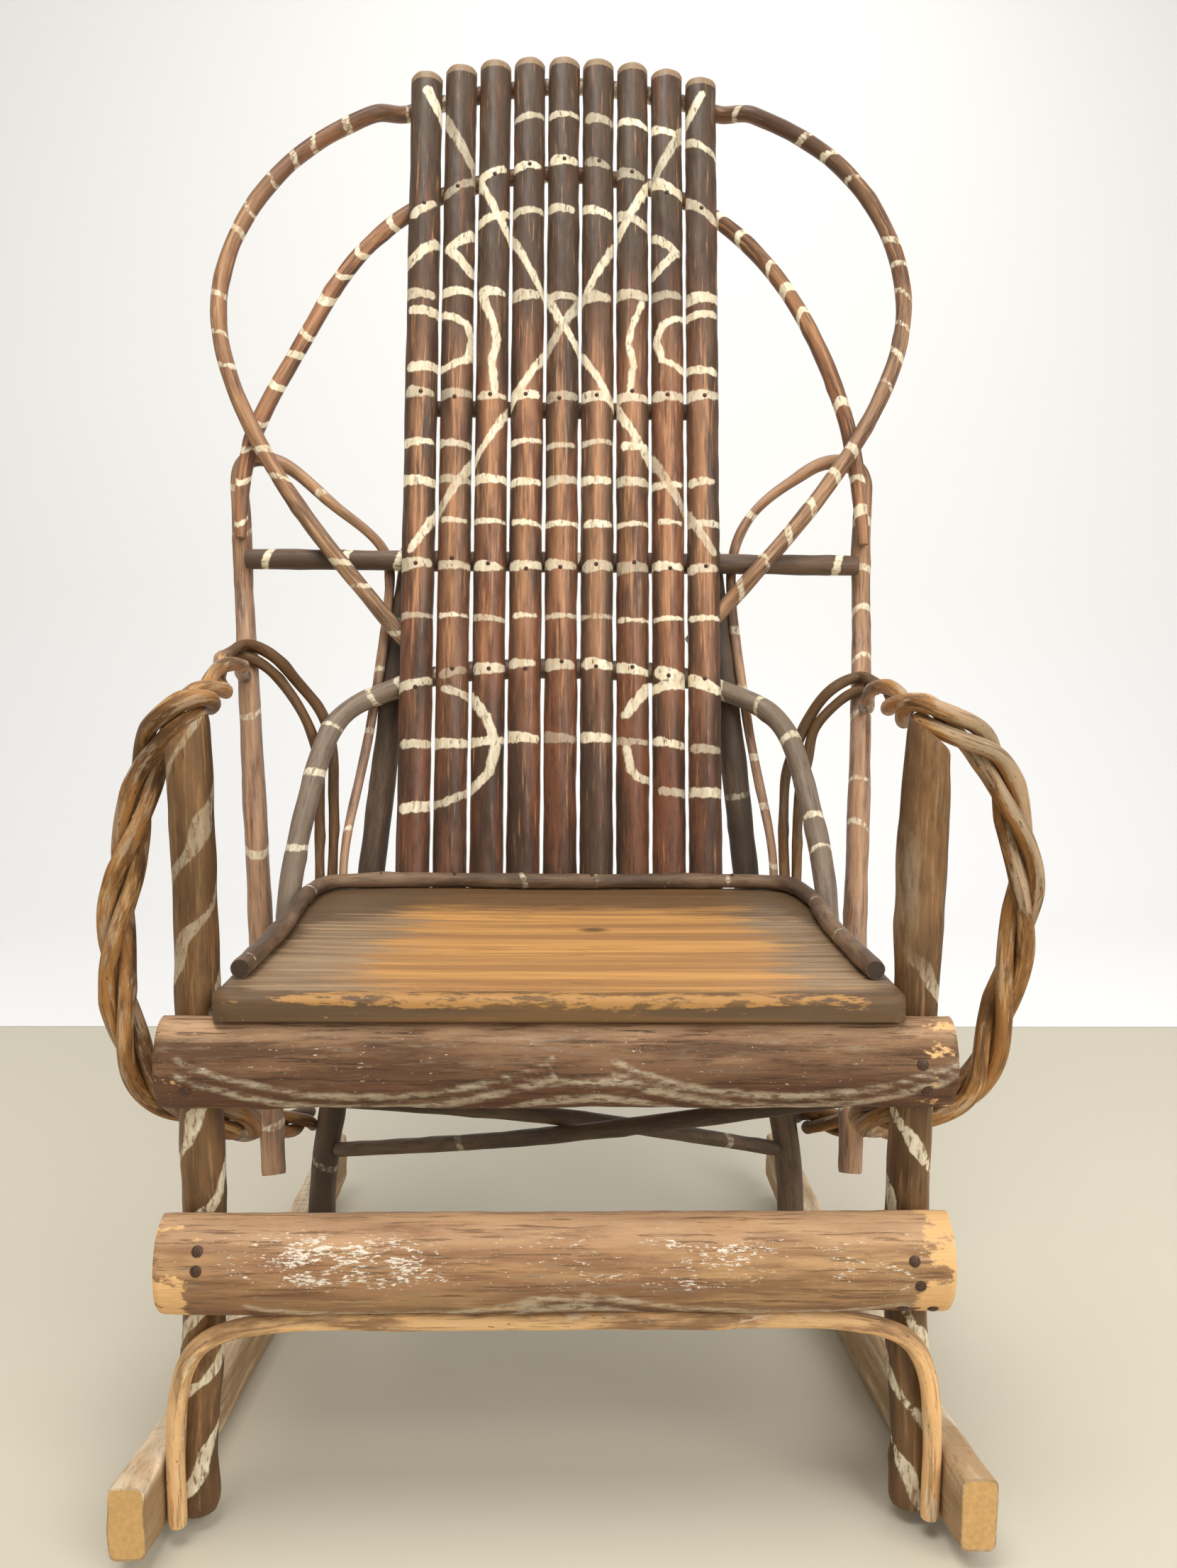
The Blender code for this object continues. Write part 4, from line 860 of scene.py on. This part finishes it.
def dab(x, up, middle, height, reach, tilt, half):
    """Distance to one dab of the brush across a slat, thicker where the brush was set down."""
    start = (middle - reach, height - tilt * reach)
    end = (middle + reach, height + tilt * reach)
    distance, share = to_line(x, up, start, end)
    return distance - half * (1.1 - 0.35 * share)


def lay(strokes, distance, fade):
    """One more stroke on a slat: at each place the nearest one counts, with its own fading."""
    stroke, faded = strokes
    nearer = distance < stroke
    return np.where(nearer, distance, stroke), np.where(nearer, fade, faded)


def slat_strokes(x, up, number):
    """Distance to the nearest cream stroke on a slat, and how far that stroke has faded."""
    draw = np.random.default_rng(300 + number)
    middle = (x.min() + x.max()) / 2
    half_slat = (x.max() - x.min()) / 2
    strokes = (np.full(x.shape, BARE), np.zeros(x.shape))
    for height, fall, half, on in ROWS:
        place = height - fall * middle ** 2 + draw.uniform(-1, 1) * ROW_SHIFT
        tilt = draw.uniform(-0.10, 0.10) - 2 * fall * middle
        reach = half_slat * draw.uniform(0.55, 1.0)
        aside = draw.uniform(-0.15, 0.15) * half_slat
        thick = half * draw.uniform(0.85, 1.30)
        fade = draw.uniform(0, 1) ** 2 * 0.75
        if number in on:
            strokes = lay(strokes, dab(x, up, middle + aside, place, reach, tilt, thick), fade)
    for line, half, sides in LINES:
        for side in sides:
            points = np.array(line) * (side, 1) + draw.uniform(-LINE_SHIFT, LINE_SHIFT, 2)
            thick = half * draw.uniform(0.75, 1.15)
            fade = draw.uniform(0, 1) ** 2 * 0.6
            for start, end in zip(points, points[1:]):
                strokes = lay(strokes, to_line(x, up, start, end)[0] - thick, fade)
    return strokes


SLAT_STEP = 0.0026
SLAT_ROUGH = 0.0005
SLAT_BEVEL = 0.0025
SLAT_TOP = 0.90  # size of a slat's very top, over the bevel
SLAT_REAR = 0.0012  # depth of the unpainted rear of a slat
SLAT_SPREAD = 1.05  # the slats' worn sides are a little fuller than the solids'
SLAT_CAP = 0.0075  # height of the whittled bare wood at the top of a slat
RIDGE_HALF = 0.008  # half the width of the rubbed ridge and its painted highlight
RUB_STARTS, RUB_ENDS = (0.08, 0.30), (0.46, 0.63)  # heights on the back over which rubbing and its painted highlight come and go
GREY_STARTS = (0.46, 0.66)  # heights on the back over which the slats turn grey
GREYER_SLATS = {1: 0.2, 2: 0.35, 6: 0.7, 9: 0.3}


def slats():
    """Half-round slats with flat tops: rubbed along the ridge at the sitter's back with a painted highlight
    there, greyer higher up.
    """
    surfaces = {}
    for number in ALL:
        node = f"back_slat_{number}"
        levels, fine, axes = outlines(node, UP, X_WAY, 2, 3)
        centre = fine.mean(axis=1, keepdims=True)
        fine = centre + (fine - centre) * (SLAT_SPREAD, 1.0)
        shoulder = fine[-2]
        middle = shoulder.mean(axis=0)
        fine = np.concatenate([fine[:-2], [shoulder, shoulder, middle + (shoulder - middle) * SLAT_TOP]])
        levels = np.concatenate([levels[:-1], [levels[-1] - SLAT_BEVEL, levels[-1]]])
        points, grain = rebuilt((levels, fine, axes), SLAT_STEP, 40 + number, SLAT_ROUGH, 3.1 * number)
        up = (points - BACK) @ UP
        x = points[:, :, 0]
        ridge = bell(x, x.mean(axis=1, keepdims=True), RIDGE_HALF)
        leaned_on_and_highlit = smooth(up, *RUB_STARTS) * (1 - smooth(up, *RUB_ENDS))
        greyed = np.maximum(smooth(up, *GREY_STARTS), GREYER_SLATS.get(number, 0.0))
        stroke, faded = slat_strokes(x, up, number)
        depth = points @ BEHIND
        depth = depth - depth.max(axis=1, keepdims=True)
        rear = depth > -SLAT_REAR
        # the rubbed share along the ridge: worn wood and a painted highlight
        wear = wear_of(np.where(rear, 0, ridge * leaned_on_and_highlit), greyed, faded)
        cut = smooth(up, up.max() - SLAT_CAP * 1.5, up.max() - SLAT_CAP * 0.5)
        stroke = np.where(rear, BARE, stroke)
        skin(f"slat_{number}", points, grain, SLAT, [node], stroke, cut, wear)
        surfaces[number] = points
    return surfaces


HOOP_CROWN = (1.00, 1.15)  # heights over which the hoops turn dark
GREY_FOOT = (0.56, 0.78)  # heights over which the posts and the lower hoop lose their grey


def hoop_wear_and_highlight(rings, spoke):
    """Wear and painted highlight of a hoop or post: rubbed, with a painted highlight, on the side towards the
    sitter and the front, grey on top and low down, dark at the crown.
    """
    height = rings[:, :, 2]
    crown = smooth(height, *HOOP_CROWN)
    # rubbed wood and a painted highlight on the front-facing side, less of both at the crown
    rubbed = (0.8 - 0.7 * crown) * smooth(-spoke[:, :, 1], 0.1, 0.9)
    greyed = (0.5 - 0.4 * crown) * smooth(spoke[:, :, 2], 0.2, 0.9)
    return wear_of(rubbed, np.maximum(greyed, 0.7 * (1 - smooth(height, *GREY_FOOT))))


def hoops_and_posts():
    twig("outer_hoop", HOOP, 11, bands(0.033, 0.0036, 0.8, 0.2), hoop_wear_and_highlight)
    twig("inner_hoop", SLAT, 12, bands(0.034, 0.0046, 1.1), hoop_wear_and_highlight)
    twig("lower_hoop", GREY_HOOP, 13, bands(0.043, 0.0034, 0.6, 0.15), hoop_wear_and_highlight)
    twig("cross_bar", BAR, 14, bands(0.062, 0.0046, 0.35, 0.2))
    twig("middle_bar", SHADED, 15)
    for side, seed in (("left", 16), ("right", 18)):
        twig(f"back_post_{side}", POST, seed, bands(0.060, 0.0036, 0.8, 0.25), hoop_wear_and_highlight)
        twig(f"rear_leg_{side}", SHADED, seed + 1, bands(0.085, 0.0034, 0.5, 0.5))


# Arms and base

ARM_GREY = (0.36, 0.50)  # heights over which the right arm turns grey, partly a painted highlight
ARM_SHADE = (0.060, 0.110)  # places from front to rear over which the arms turn dark in painted shade
SPLIT_ACROSS = (0.150, 0.185)  # places across the chair over which the brace's split starts
SPLIT_HEIGHTS = (0.11, 0.15)  # heights over which it ends
LEG_FADES = (0.36, 0.42)  # heights over which a front leg's stripes fade
LEG_PATCH, LEG_PATCH_HALF = 0.455, 0.030  # height of the pale patch on the right front leg


def arm_wear_and_painted_light(rings, spoke):
    """Wear and painted light of an arm: grey outside, partly a painted highlight, most of all high on the
    right one, and painted shade behind the posts.
    """
    x, y, z = np.moveaxis(rings, 2, 0)
    outer = smooth(spoke[:, :, 0] * np.sign(x) - 0.7 * spoke[:, :, 1], -0.2, 0.8)
    greyed = outer * np.where(x > 0, 0.95 * smooth(z, *ARM_GREY), 0.25)
    return wear_of(0.0, greyed, smooth(y, *ARM_SHADE))


def arms():
    for side, seed in (("left", 30), ("right", 50)):
        for number in (1, 2, 3):
            strand = f"arm_strand_{number}_{side}"
            twig(strand, BARK, seed + number, None, arm_wear_and_painted_light, 0.06, 0.06, 0.14)
        twig(f"arm_tail_{side}", BARK, seed + 4, None, arm_wear_and_painted_light, 0.06, 0.05, 0.16)


def split_end(rings, spoke):
    """Wear of the brace: its right end is split open to pale wood."""
    right = smooth(rings[:, :, 0], *SPLIT_ACROSS) * (1 - smooth(rings[:, :, 2], *SPLIT_HEIGHTS))
    return wear_of(right * smooth(-spoke[:, :, 1], -0.2, 0.4))


def leg_wear(rings, spoke):
    """Wear of a front leg: stripes faded above the seat, and a pale rubbed patch on the right one."""
    x, _, z = np.moveaxis(rings, 2, 0)
    facing = smooth(-spoke[:, :, 1], 0.0, 0.8)
    patch = bell(z, LEG_PATCH, LEG_PATCH_HALF) * smooth(-spoke[:, :, 0], 0.0, 0.7) * (x > 0)
    return wear_of(0.4 * facing, patch, smooth(z, *LEG_FADES) * np.where(x > 0, 1.08, 0.75))


def base():
    for side, seed, hand in (("left", 60, 1), ("right", 64, -1)):
        twig(f"front_leg_{side}", LEG, seed, spiral(0.125, 2, 0.0070, hand), leg_wear)
        twig(f"side_seat_rail_{side}", SHADED, seed + 1)
    twig("front_brace", BRACE, 70, wear=split_end, spacing=0.11)
    for number in (1, 2):
        twig(f"x_stretcher_{number}", SHADED, 70 + number, bands(0.09, 0.004, 0.5, 0.5))
    twig("seat_rim_twig", RIM, 73, bands(0.070, 0.0020, 0.4, 0.5), rough=0.06, lump=0.16)


# Swags painted on the rails: middle, half width, height over the underside, rise at the ends, half thickness
RAIL_SWAGS = {
    "front_seat_rail": ((-0.125, 0.120, 0.003, 0.027, 0.0040), (-0.125, 0.120, 0.014, 0.026, 0.0028),
                        (0.145, 0.112, 0.004, 0.026, 0.0040), (0.145, 0.112, 0.015, 0.024, 0.0028),
                        (0.018, 0.062, 0.013, -0.013, 0.0038), (0.018, 0.095, 0.026, -0.022, 0.0028)),
    "lower_front_rail": ((-0.110, 0.095, 0.006, 0.010, 0.0040), (0.150, 0.095, 0.006, 0.012, 0.0040),
                         (0.012, 0.050, 0.015, -0.014, 0.0038), (0.012, 0.078, 0.024, -0.020, 0.0028)),
}
RIBBON_DROP = 0.0072  # how far below a stroke its stained ribbon runs
RIBBON_HALF = 0.0052

# Rails: material, seed, share of bare wood at the ends, share of white flecks, share of painted shade at the
# foot
RAILS = {
    "front_seat_rail": (RAIL, 80, 0.45, 0.15, 1.25),
    "lower_front_rail": (LOWER_RAIL, 81, 1.0, 1.0, 0.6),
}
RAIL_STEP = 0.004
RAIL_ROUGH = 0.0009
RAIL_FRONT = 0.006  # depth from a rail's flat side over which its front begins
RAIL_END = 0.030  # length of a rail's chipped ends
FOOT_SHADE_FALL = 1.2  # how fast the painted shade at a rail's foot ends, over its height
# White flecks: place across the chair, half width, share
FLECK_PATCHES = ((-0.185, 0.030, 0.75), (-0.142, 0.040, 1.0), (-0.098, 0.030, 0.7), (0.015, 0.045, 0.55),
                 (0.070, 0.030, 0.8), (0.115, 0.030, 0.7), (0.185, 0.020, 0.55), (0.225, 0.020, 0.6))
# Shares of a rail's height over which something comes or goes, among them the painted highlight along the top
CHIPS_END, TOP_HIGHLIGHT_STARTS, FLECKS_START, FLECKS_END = (0.40, 0.70), (0.70, 0.95), (0.35, 0.50), (0.80, 0.95)
CLEAT_STEP = 0.01
ROCKER_STEP = 0.005
ROCKER_ROUGH = 0.0006
ROCKER_SIDE_SHADE = (0.003, 0.014)  # depths below the top edge over which a rocker turns from its paler top to brown sides, partly painted shade


def swags(node, points):
    """Distance to the cream swags on a half-log, and the share of stain in the ribbons under them."""
    x, z = points[:, :, 0], points[:, :, 2]
    stroke = np.full(x.shape, BARE)
    stain_and_shade = np.zeros(x.shape)
    for middle, half, height, rise, thick in RAIL_SWAGS[node]:
        share = (x - middle) / half
        curve = z.min() + height + rise * share ** 2
        slope = 2 * rise * share / half
        off = (z - curve) / np.sqrt(1 + slope ** 2)
        beyond = np.maximum(np.abs(x - middle) - half, 0)
        thinner = thick * (1 - 0.5 * np.abs(np.clip(share, -1, 1)))
        stroke = np.minimum(stroke, np.hypot(off, beyond) - thinner)
        ribbon = 1 - smooth(np.abs(off + RIBBON_DROP), RIBBON_HALF * 0.6, RIBBON_HALF)
        stain_and_shade = np.maximum(stain_and_shade, np.where(beyond > 0, 0, ribbon))
    return stroke, stain_and_shade


def rails():
    """The two half-logs in front, and the hidden cleat behind the slats."""
    surfaces = {}
    for node, (look, seed, bare_ends, flecks, foot_shade) in RAILS.items():
        points, grain = rebuilt(outlines(node, X_WAY, Y_WAY, 2, 3), RAIL_STEP, seed, RAIL_ROUGH, seed)
        stroke, stain_and_shade = swags(node, points)
        x, y, z = np.moveaxis(points, 2, 0)
        front = smooth(-y, -y.max(), -y.max() + RAIL_FRONT)
        height = (z - z.min()) / (z.max() - z.min())
        near_end = np.minimum(x - x.min(), x.max() - x)
        bare = bare_ends * (1 - smooth(near_end, 0.4 * RAIL_END, 1.2 * RAIL_END))
        bare = bare * np.where(x < 0, 1 - 0.55 * smooth(height, *CHIPS_END), 1.0)
        patches = sum(share * bell(x, place, half) for place, half, share in FLECK_PATCHES)
        flecked = flecks * front * patches * smooth(height, *FLECKS_START) * (1 - smooth(height, *FLECKS_END))
        # the stain of the ribbons on the front, painted shade towards the foot and, where this falls below
        # zero, a painted highlight along the top
        stain_and_shade = np.maximum(stain_and_shade * front, foot_shade - FOOT_SHADE_FALL * height) - smooth(height, *TOP_HIGHLIGHT_STARTS)
        wear = wear_of(bare, np.clip(flecked, 0, 1), stain_and_shade)
        skin(f"{node}_log", points, grain, look, [node], stroke, wear=wear)
        surfaces[node] = points
    node = "rear_seat_rail"
    points, grain = rebuilt(outlines(node, X_WAY, Y_WAY, 4, 1), CLEAT_STEP)
    skin("rear_seat_cleat", points, grain, CLEAT, [node])
    return surfaces


def rockers():
    for side, seed in (("left", 90), ("right", 91)):
        node = f"rocker_{side}"
        points, grain = rebuilt(outlines(node, Y_WAY, X_WAY, 8, 1), ROCKER_STEP, seed, ROCKER_ROUGH, seed)
        below_top = points[:, :, 2].max(axis=1, keepdims=True) - points[:, :, 2]
        # brown sides below the top edge, partly painted shade
        wear = wear_of(greyed=smooth(below_top, *ROCKER_SIDE_SHADE))
        skin(f"rocker_board_{side}", points, grain, BOARD, [node], wear=wear)


# Seat

SEAT_EDGE = 0.0055  # radius of the worn edges
SEAT_CORNER = 0.014  # radius of the front corners
SEAT_DISH = 0.0016  # hollow worn in the middle
SEAT_BORDERS = (0.185, 0.125)  # width of the grey border, lightened as a painted sheen, on the left and on the right
SEAT_FACE = (0.004, 0.022)  # distances from the front over which the dark front face ends
REAR_DARK = (0.48, 0.95)  # shares of the depth over which the seat turns dark
SIDE_DARK = (0.0, 0.045)  # distances from a side over which its dark edge ends
LEFT_DARK, LEFT_DEPTH = (0.02, 0.14), (0.15, 0.7)  # the wider shade on the left, and the depth it starts at
CHIPS_LOW, CHIPS_HIGH = 0.013, 0.004  # depths below the top over which the front face is chipped
CHIPS_REACH = (0.14, 0.23)  # distances from the middle over which those chips end
TOP_CHIPS = (0.01, 0.06)  # distances from the front over which the chips on top end
SEAT_ROWS = 90
EDGE_POINTS = 6
SEAT_TOP_POINTS = 121
SEAT_UNDER_POINTS = 91
SPLIT_FROM, SPLIT_TO = (0.125, -0.045), (0.240, -0.063)
SPLIT_WAVES = ((0.05, 0.0008), (0.021, 0.0004))
SPLIT_HALF = 0.0011
SPLIT_OPENS = 0.03  # length over which the split opens
SPLIT_DEPTH = 0.0022
SPLIT_ROWS = 60
SPLIT_MARGIN = 0.004
KNOT_PLACE = (0.026, -0.085)
KNOT_SIZE = (0.011, 0.007)


def seat_half_widths():
    """Half the width of the seat at its front and at its rear."""
    low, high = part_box("seat_board")
    points, _ = welded("seat_board")
    rear = np.abs(points[points[:, 1] > high.y - 0.001, 0]).max()
    front = np.abs(points[points[:, 1] < low.y + 0.06, 0]).max()
    return front, rear


def rounding(distance, radius):
    """How far a quarter-round edge has fallen at a distance inside it."""
    inside = np.clip(radius - distance, 0, radius)
    return radius - np.sqrt(radius ** 2 - inside ** 2)


def seat_rows():
    """Places from the front to the rear of the seat: close together at its edges and at the split."""
    low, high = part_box("seat_board")
    even = np.linspace(low.y, high.y, SEAT_ROWS)
    edge = SEAT_EDGE * (1 - np.cos(np.linspace(0, math.pi / 2, EDGE_POINTS)))
    split = np.linspace(SPLIT_TO[1] - SPLIT_MARGIN, SPLIT_FROM[1] + SPLIT_MARGIN, SPLIT_ROWS)
    return np.unique(np.concatenate([even, low.y + edge, high.y - edge, split]).round(6))


def seat_wear_shade_and_sheen(rings, low, high, front, rear):
    """Marks of the plank: chips along its front edge, a grey border lightened as a painted sheen, darker at
    the rear and the sides, and painted shade along the left side.
    """
    x, y, z = np.moveaxis(rings, 2, 0)
    deep = (y - low.y) / (high.y - low.y)
    from_side = front + (rear - front) * deep - np.abs(x)
    greyed = 1.20 * (1 - smooth(from_side / np.where(x < 0, *SEAT_BORDERS), 0.0, 1.0))
    darkened = 1.25 * smooth(deep, *REAR_DARK) + 0.9 * (1 - smooth(from_side, *SIDE_DARK))
    # painted shade along the left side of the seat
    darkened += 0.45 * (1 - smooth(from_side, *LEFT_DARK)) * smooth(deep, *LEFT_DEPTH) * (x < 0)
    on_face = 1 - smooth(y - low.y, *SEAT_FACE)
    chipped = 0.9 * on_face * smooth(z, high.z - CHIPS_LOW, high.z - CHIPS_HIGH)
    chipped = chipped * (1 - smooth(np.abs(x), *CHIPS_REACH))
    chipped = np.maximum(chipped, 0.5 * (1 - smooth(y - low.y, *TOP_CHIPS)) * (1 - on_face))
    return wear_of(chipped, greyed, np.maximum(darkened, 1.05 * on_face))


def seat():
    """The plank: worn round edges, a slight hollow, a split that runs in from the right, and a knot."""
    low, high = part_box("seat_board")
    front, rear = seat_half_widths()
    turn = np.linspace(0, math.pi / 2, EDGE_POINTS)[1:]
    rings = []
    for y in seat_rows():
        deep = (y - low.y) / (high.y - low.y)
        half = front + (rear - front) * deep - rounding(y - low.y, SEAT_CORNER)
        fall = rounding(np.minimum(y - low.y, high.y - y), SEAT_EDGE)
        x = np.linspace(-1, 1, SEAT_TOP_POINTS) * (half - SEAT_EDGE)
        dish = SEAT_DISH * (1 - (x / half) ** 2) * (1 - (2 * deep - 1) ** 2)
        line = np.interp(x, (SPLIT_FROM[0], SPLIT_TO[0]), (SPLIT_FROM[1], SPLIT_TO[1]))
        line = line + ripple(9, x, SPLIT_WAVES)
        opening = SPLIT_HALF * smooth(x, SPLIT_FROM[0], SPLIT_FROM[0] + SPLIT_OPENS) + 1e-6
        groove = SPLIT_DEPTH * bell(y, line, opening) * (x > SPLIT_FROM[0])
        top = np.column_stack([x, high.z - fall - dish - groove])
        side = np.column_stack([half - SEAT_EDGE * (1 - np.sin(turn)),
                                high.z - fall - SEAT_EDGE * (1 - np.cos(turn))])
        bottom_x = np.linspace(1, -1, SEAT_UNDER_POINTS) * half
        under = np.column_stack([bottom_x, np.full(SEAT_UNDER_POINTS, low.z + 0.4 * fall)])
        outline = np.vstack([top, side, under, side[::-1] * (-1, 1)])
        rings.append(np.insert(outline, 1, y, axis=1))
    rings = np.array(rings)
    across = np.hypot(*((rings[:, :, i] - KNOT_PLACE[i]) / KNOT_SIZE[i] for i in (0, 1)))
    knot = (across - 1) * min(KNOT_SIZE)
    wear = seat_wear_shade_and_sheen(rings, low, high, front, rear)
    skin("seat_plank", rings, rings.copy(), SEAT, ["seat_board"], knot, wear=wear)


# Nails

NAIL_SIDES = 10
NAIL_PROFILE = ((1.0, -0.0006), (1.0, 0.0004), (0.7, 0.0010))  # share of the radius, height
NAIL_TOP = 0.0012
NAIL_ASIDE = (0.3, 0.9, 0.2)  # any way that no nail points in
NAIL_RADIUS = 0.0021
RAIL_NAIL_RADIUS = 0.0038
RIM_NAIL_RADIUS = 0.0019
NAIL_REACH = 0.0035  # how near to a nail's place its surface point is looked for

# Nails of the rails, as places across the chair and shares of the rail's height
RAIL_NAILS = {
    "lower_front_rail": ((-0.235, 0.80), (-0.235, 0.57), (0.230, 0.70), (0.234, 0.44), (0.229, 0.13),
                         (0.246, 0.12)),
    "front_seat_rail": ((-0.236, 0.30), (0.232, 0.58), (0.238, 0.26)),
}
RIM_NAIL_SHARES = np.linspace(0.28, 0.72, 8)  # along the rim twig
RIM_NAIL_WAY = (0, -0.35, 0.94)


def nail_heads(name, heads):
    """Low domed nail heads in one piece, each given by its place, its way out and its radius."""
    points, faces = [], []
    turn = math.tau * np.arange(NAIL_SIDES)[:, None] / NAIL_SIDES
    for place, normal, radius in heads:
        normal = unit(normal)
        side = unit(np.cross(normal, NAIL_ASIDE))
        around = side * np.cos(turn) + np.cross(normal, side) * np.sin(turn)
        start = len(points)
        for share, rise in NAIL_PROFILE:
            points.extend(place + radius * share * around + normal * rise)
        points.append(place + normal * NAIL_TOP)
        rings = [start + i * NAIL_SIDES for i in range(len(NAIL_PROFILE))]
        for low, high in zip(rings, rings[1:]):
            faces += strip(low, high, NAIL_SIDES)
        faces += fan(rings[-1], len(points) - 1, NAIL_SIDES)
        faces.append(tuple(start + j for j in reversed(range(NAIL_SIDES))))
    mesh = bpy.data.meshes.new(name)
    mesh.from_pydata([tuple(p) for p in points], [], faces)
    set_attribute(mesh, "grain", points)
    finish_piece(name, mesh, NAIL, [])


def surface_point(points, across, height, x, level):
    """The front-most surface point at a place across and a height, and the way out from there."""
    near = np.argwhere(np.hypot(across - x, height - level) < NAIL_REACH)
    depth = [points[i, j] @ BEHIND for i, j in near]
    i, j = near[int(np.argmin(depth))]
    along = points[min(i + 1, len(points) - 1), j] - points[i - 1, j]
    around = points[i, (j + 1) % points.shape[1]] - points[i, j - 1]
    return points[i, j], unit(np.cross(around, along))


def slat_nails(surfaces):
    """One nail through each slat at every bar and hoop behind it."""
    draw = np.random.default_rng(5)
    heads = []
    for points in surfaces.values():
        up = (points - BACK) @ UP
        x = points[:, :, 0]
        for row in NAILED_ROWS:
            height, fall = ROWS[row][:2]
            near = np.abs(up.mean(axis=1) - height).argmin()
            middle = x[near].mean() + draw.uniform(-0.0035, 0.0035)
            level = height - fall * middle ** 2 + draw.uniform(-0.003, 0.003)
            heads.append((*surface_point(points, x, up, middle, level), NAIL_RADIUS))
    nail_heads("slat_nails", heads)


def rail_nails(surfaces):
    """Nails through the ends of each rail into the front legs."""
    heads = []
    for node, places in RAIL_NAILS.items():
        points = surfaces[node]
        z = points[:, :, 2]
        for x, share in places:
            level = z.min() + share * (z.max() - z.min())
            heads.append((*surface_point(points, points[:, :, 0], z, x, level), RAIL_NAIL_RADIUS))
    nail_heads("rail_nails", heads)


def rim_nails():
    """Small nails along the back stretch of the rim twig, down into the seat."""
    path, _ = spline(tube_rings("seat_rim_twig")[0], RING_STEP)
    heads = []
    for share in RIM_NAIL_SHARES:
        x, y, z, radius = path[int(share * (len(path) - 1))]
        place = np.array((x, y - 0.35 * radius, z + 0.9 * radius))
        heads.append((place, RIM_NAIL_WAY, RIM_NAIL_RADIUS))
    nail_heads("rim_nails", heads)


# Stage, light and camera

STAGE_SIZE = 6.0
SHEET_FROM = 0.88  # where the pale sheet behind the chair starts on the floor
SHEET_LIFT = 0.0012  # how high it lies over the floor
SHEET_BEND = 1.6
SHEET_RADIUS = 0.8
SHEET_TOP = 5.0
LAMP_TARGET = (0, 0, 0.6)
SHEET_TARGET = (0, 1.6, 0.6)


def plain_sheet(name, profile, colour):
    """A wide sheet along a profile of (y, z) places, of one plain colour, that isn't part of the object."""
    points, faces = [], []
    for y, z in profile:
        points += [(-STAGE_SIZE, y, z), (STAGE_SIZE, y, z)]
    for i in range(len(profile) - 1):
        faces.append((2 * i, 2 * i + 1, 2 * i + 3, 2 * i + 2))
    mesh = bpy.data.meshes.new(name)
    mesh.from_pydata(points, [], faces)
    mesh.shade_smooth()
    material = bpy.data.materials.new(name)
    material.use_nodes = True
    shader = material.node_tree.nodes["Principled BSDF"]
    shader.inputs["Base Color"].default_value = (*colour, 1)
    shader.inputs["Roughness"].default_value = 0.9
    mesh.materials.append(material)
    sheet = linked(name, mesh)


def stage():
    plain_sheet("pale_floor", [(-STAGE_SIZE, 0.0), (STAGE_SIZE, 0.0)], FLOOR_COLOUR)
    profile = [(SHEET_FROM, SHEET_LIFT / 2), (SHEET_BEND, SHEET_LIFT)]
    for turn in np.linspace(0, math.pi / 2, 12)[1:]:
        profile.append((SHEET_BEND + SHEET_RADIUS * math.sin(turn),
                        SHEET_LIFT + SHEET_RADIUS * (1 - math.cos(turn))))
    profile.append((SHEET_BEND + SHEET_RADIUS, SHEET_TOP))
    plain_sheet("white_sheet", profile, SHEET_COLOUR)


def aimed(name, data, place, right, up, forward):
    """A lamp or a camera at a place, looking forward."""
    made = linked(name, data)
    made.matrix_world = Matrix((*zip(right, up, -forward, place), (0, 0, 0, 1)))
    return made


def lamp(name, place, target, size, power, colour=(1, 1, 1)):
    data = bpy.data.lights.new(name, "AREA")
    data.shape = "DISK"
    data.size = size
    data.energy = power
    data.color = colour
    way = unit(np.subtract(target, place))
    right = unit(np.cross(way, (0, 0, 1)))
    aimed(name, data, place, right, np.cross(right, way), way)


def lights():
    lamp("overhead", (-0.4, -0.9, 3.0), LAMP_TARGET, 1.5, 48, (1.0, 0.97, 0.92))
    lamp("front", (1.5, -2.2, 1.9), LAMP_TARGET, 2.0, 52, (1.0, 0.98, 0.95))
    lamp("behind", (0.4, 1.0, 2.9), SHEET_TARGET, 1.6, 13)
    world = bpy.data.worlds.new("studio")
    bpy.context.scene.world = world
    world.use_nodes = True
    background = world.node_tree.nodes["Background"]
    background.inputs["Color"].default_value = (1.0, 0.99, 0.975, 1)
    background.inputs["Strength"].default_value = 0.50


def camera():
    forward = np.array((math.sin(CAMERA_YAW) * math.cos(CAMERA_PITCH),
                        math.cos(CAMERA_YAW) * math.cos(CAMERA_PITCH), -math.sin(CAMERA_PITCH)))
    level = np.array((math.cos(CAMERA_YAW), -math.sin(CAMERA_YAW), 0.0))
    down = np.cross(forward, level)
    right = math.cos(CAMERA_ROLL) * level + math.sin(CAMERA_ROLL) * down
    up = math.sin(CAMERA_ROLL) * level - math.cos(CAMERA_ROLL) * down
    data = bpy.data.cameras.new("camera")
    data.sensor_fit = "VERTICAL"
    data.sensor_height = SENSOR_HEIGHT
    data.lens = SENSOR_HEIGHT * FOCAL_PIXELS / IMAGE_HEIGHT
    bpy.context.scene.camera = aimed("camera", data, CAMERA_PLACE, right, up, forward)


slat_surfaces = slats()
hoops_and_posts()
arms()
base()
rail_surfaces = rails()
rockers()
seat()
slat_nails(slat_surfaces)
rail_nails(rail_surfaces)
rim_nails()
stage()
lights()
camera()
bpy.context.scene.view_settings.view_transform = "Standard"
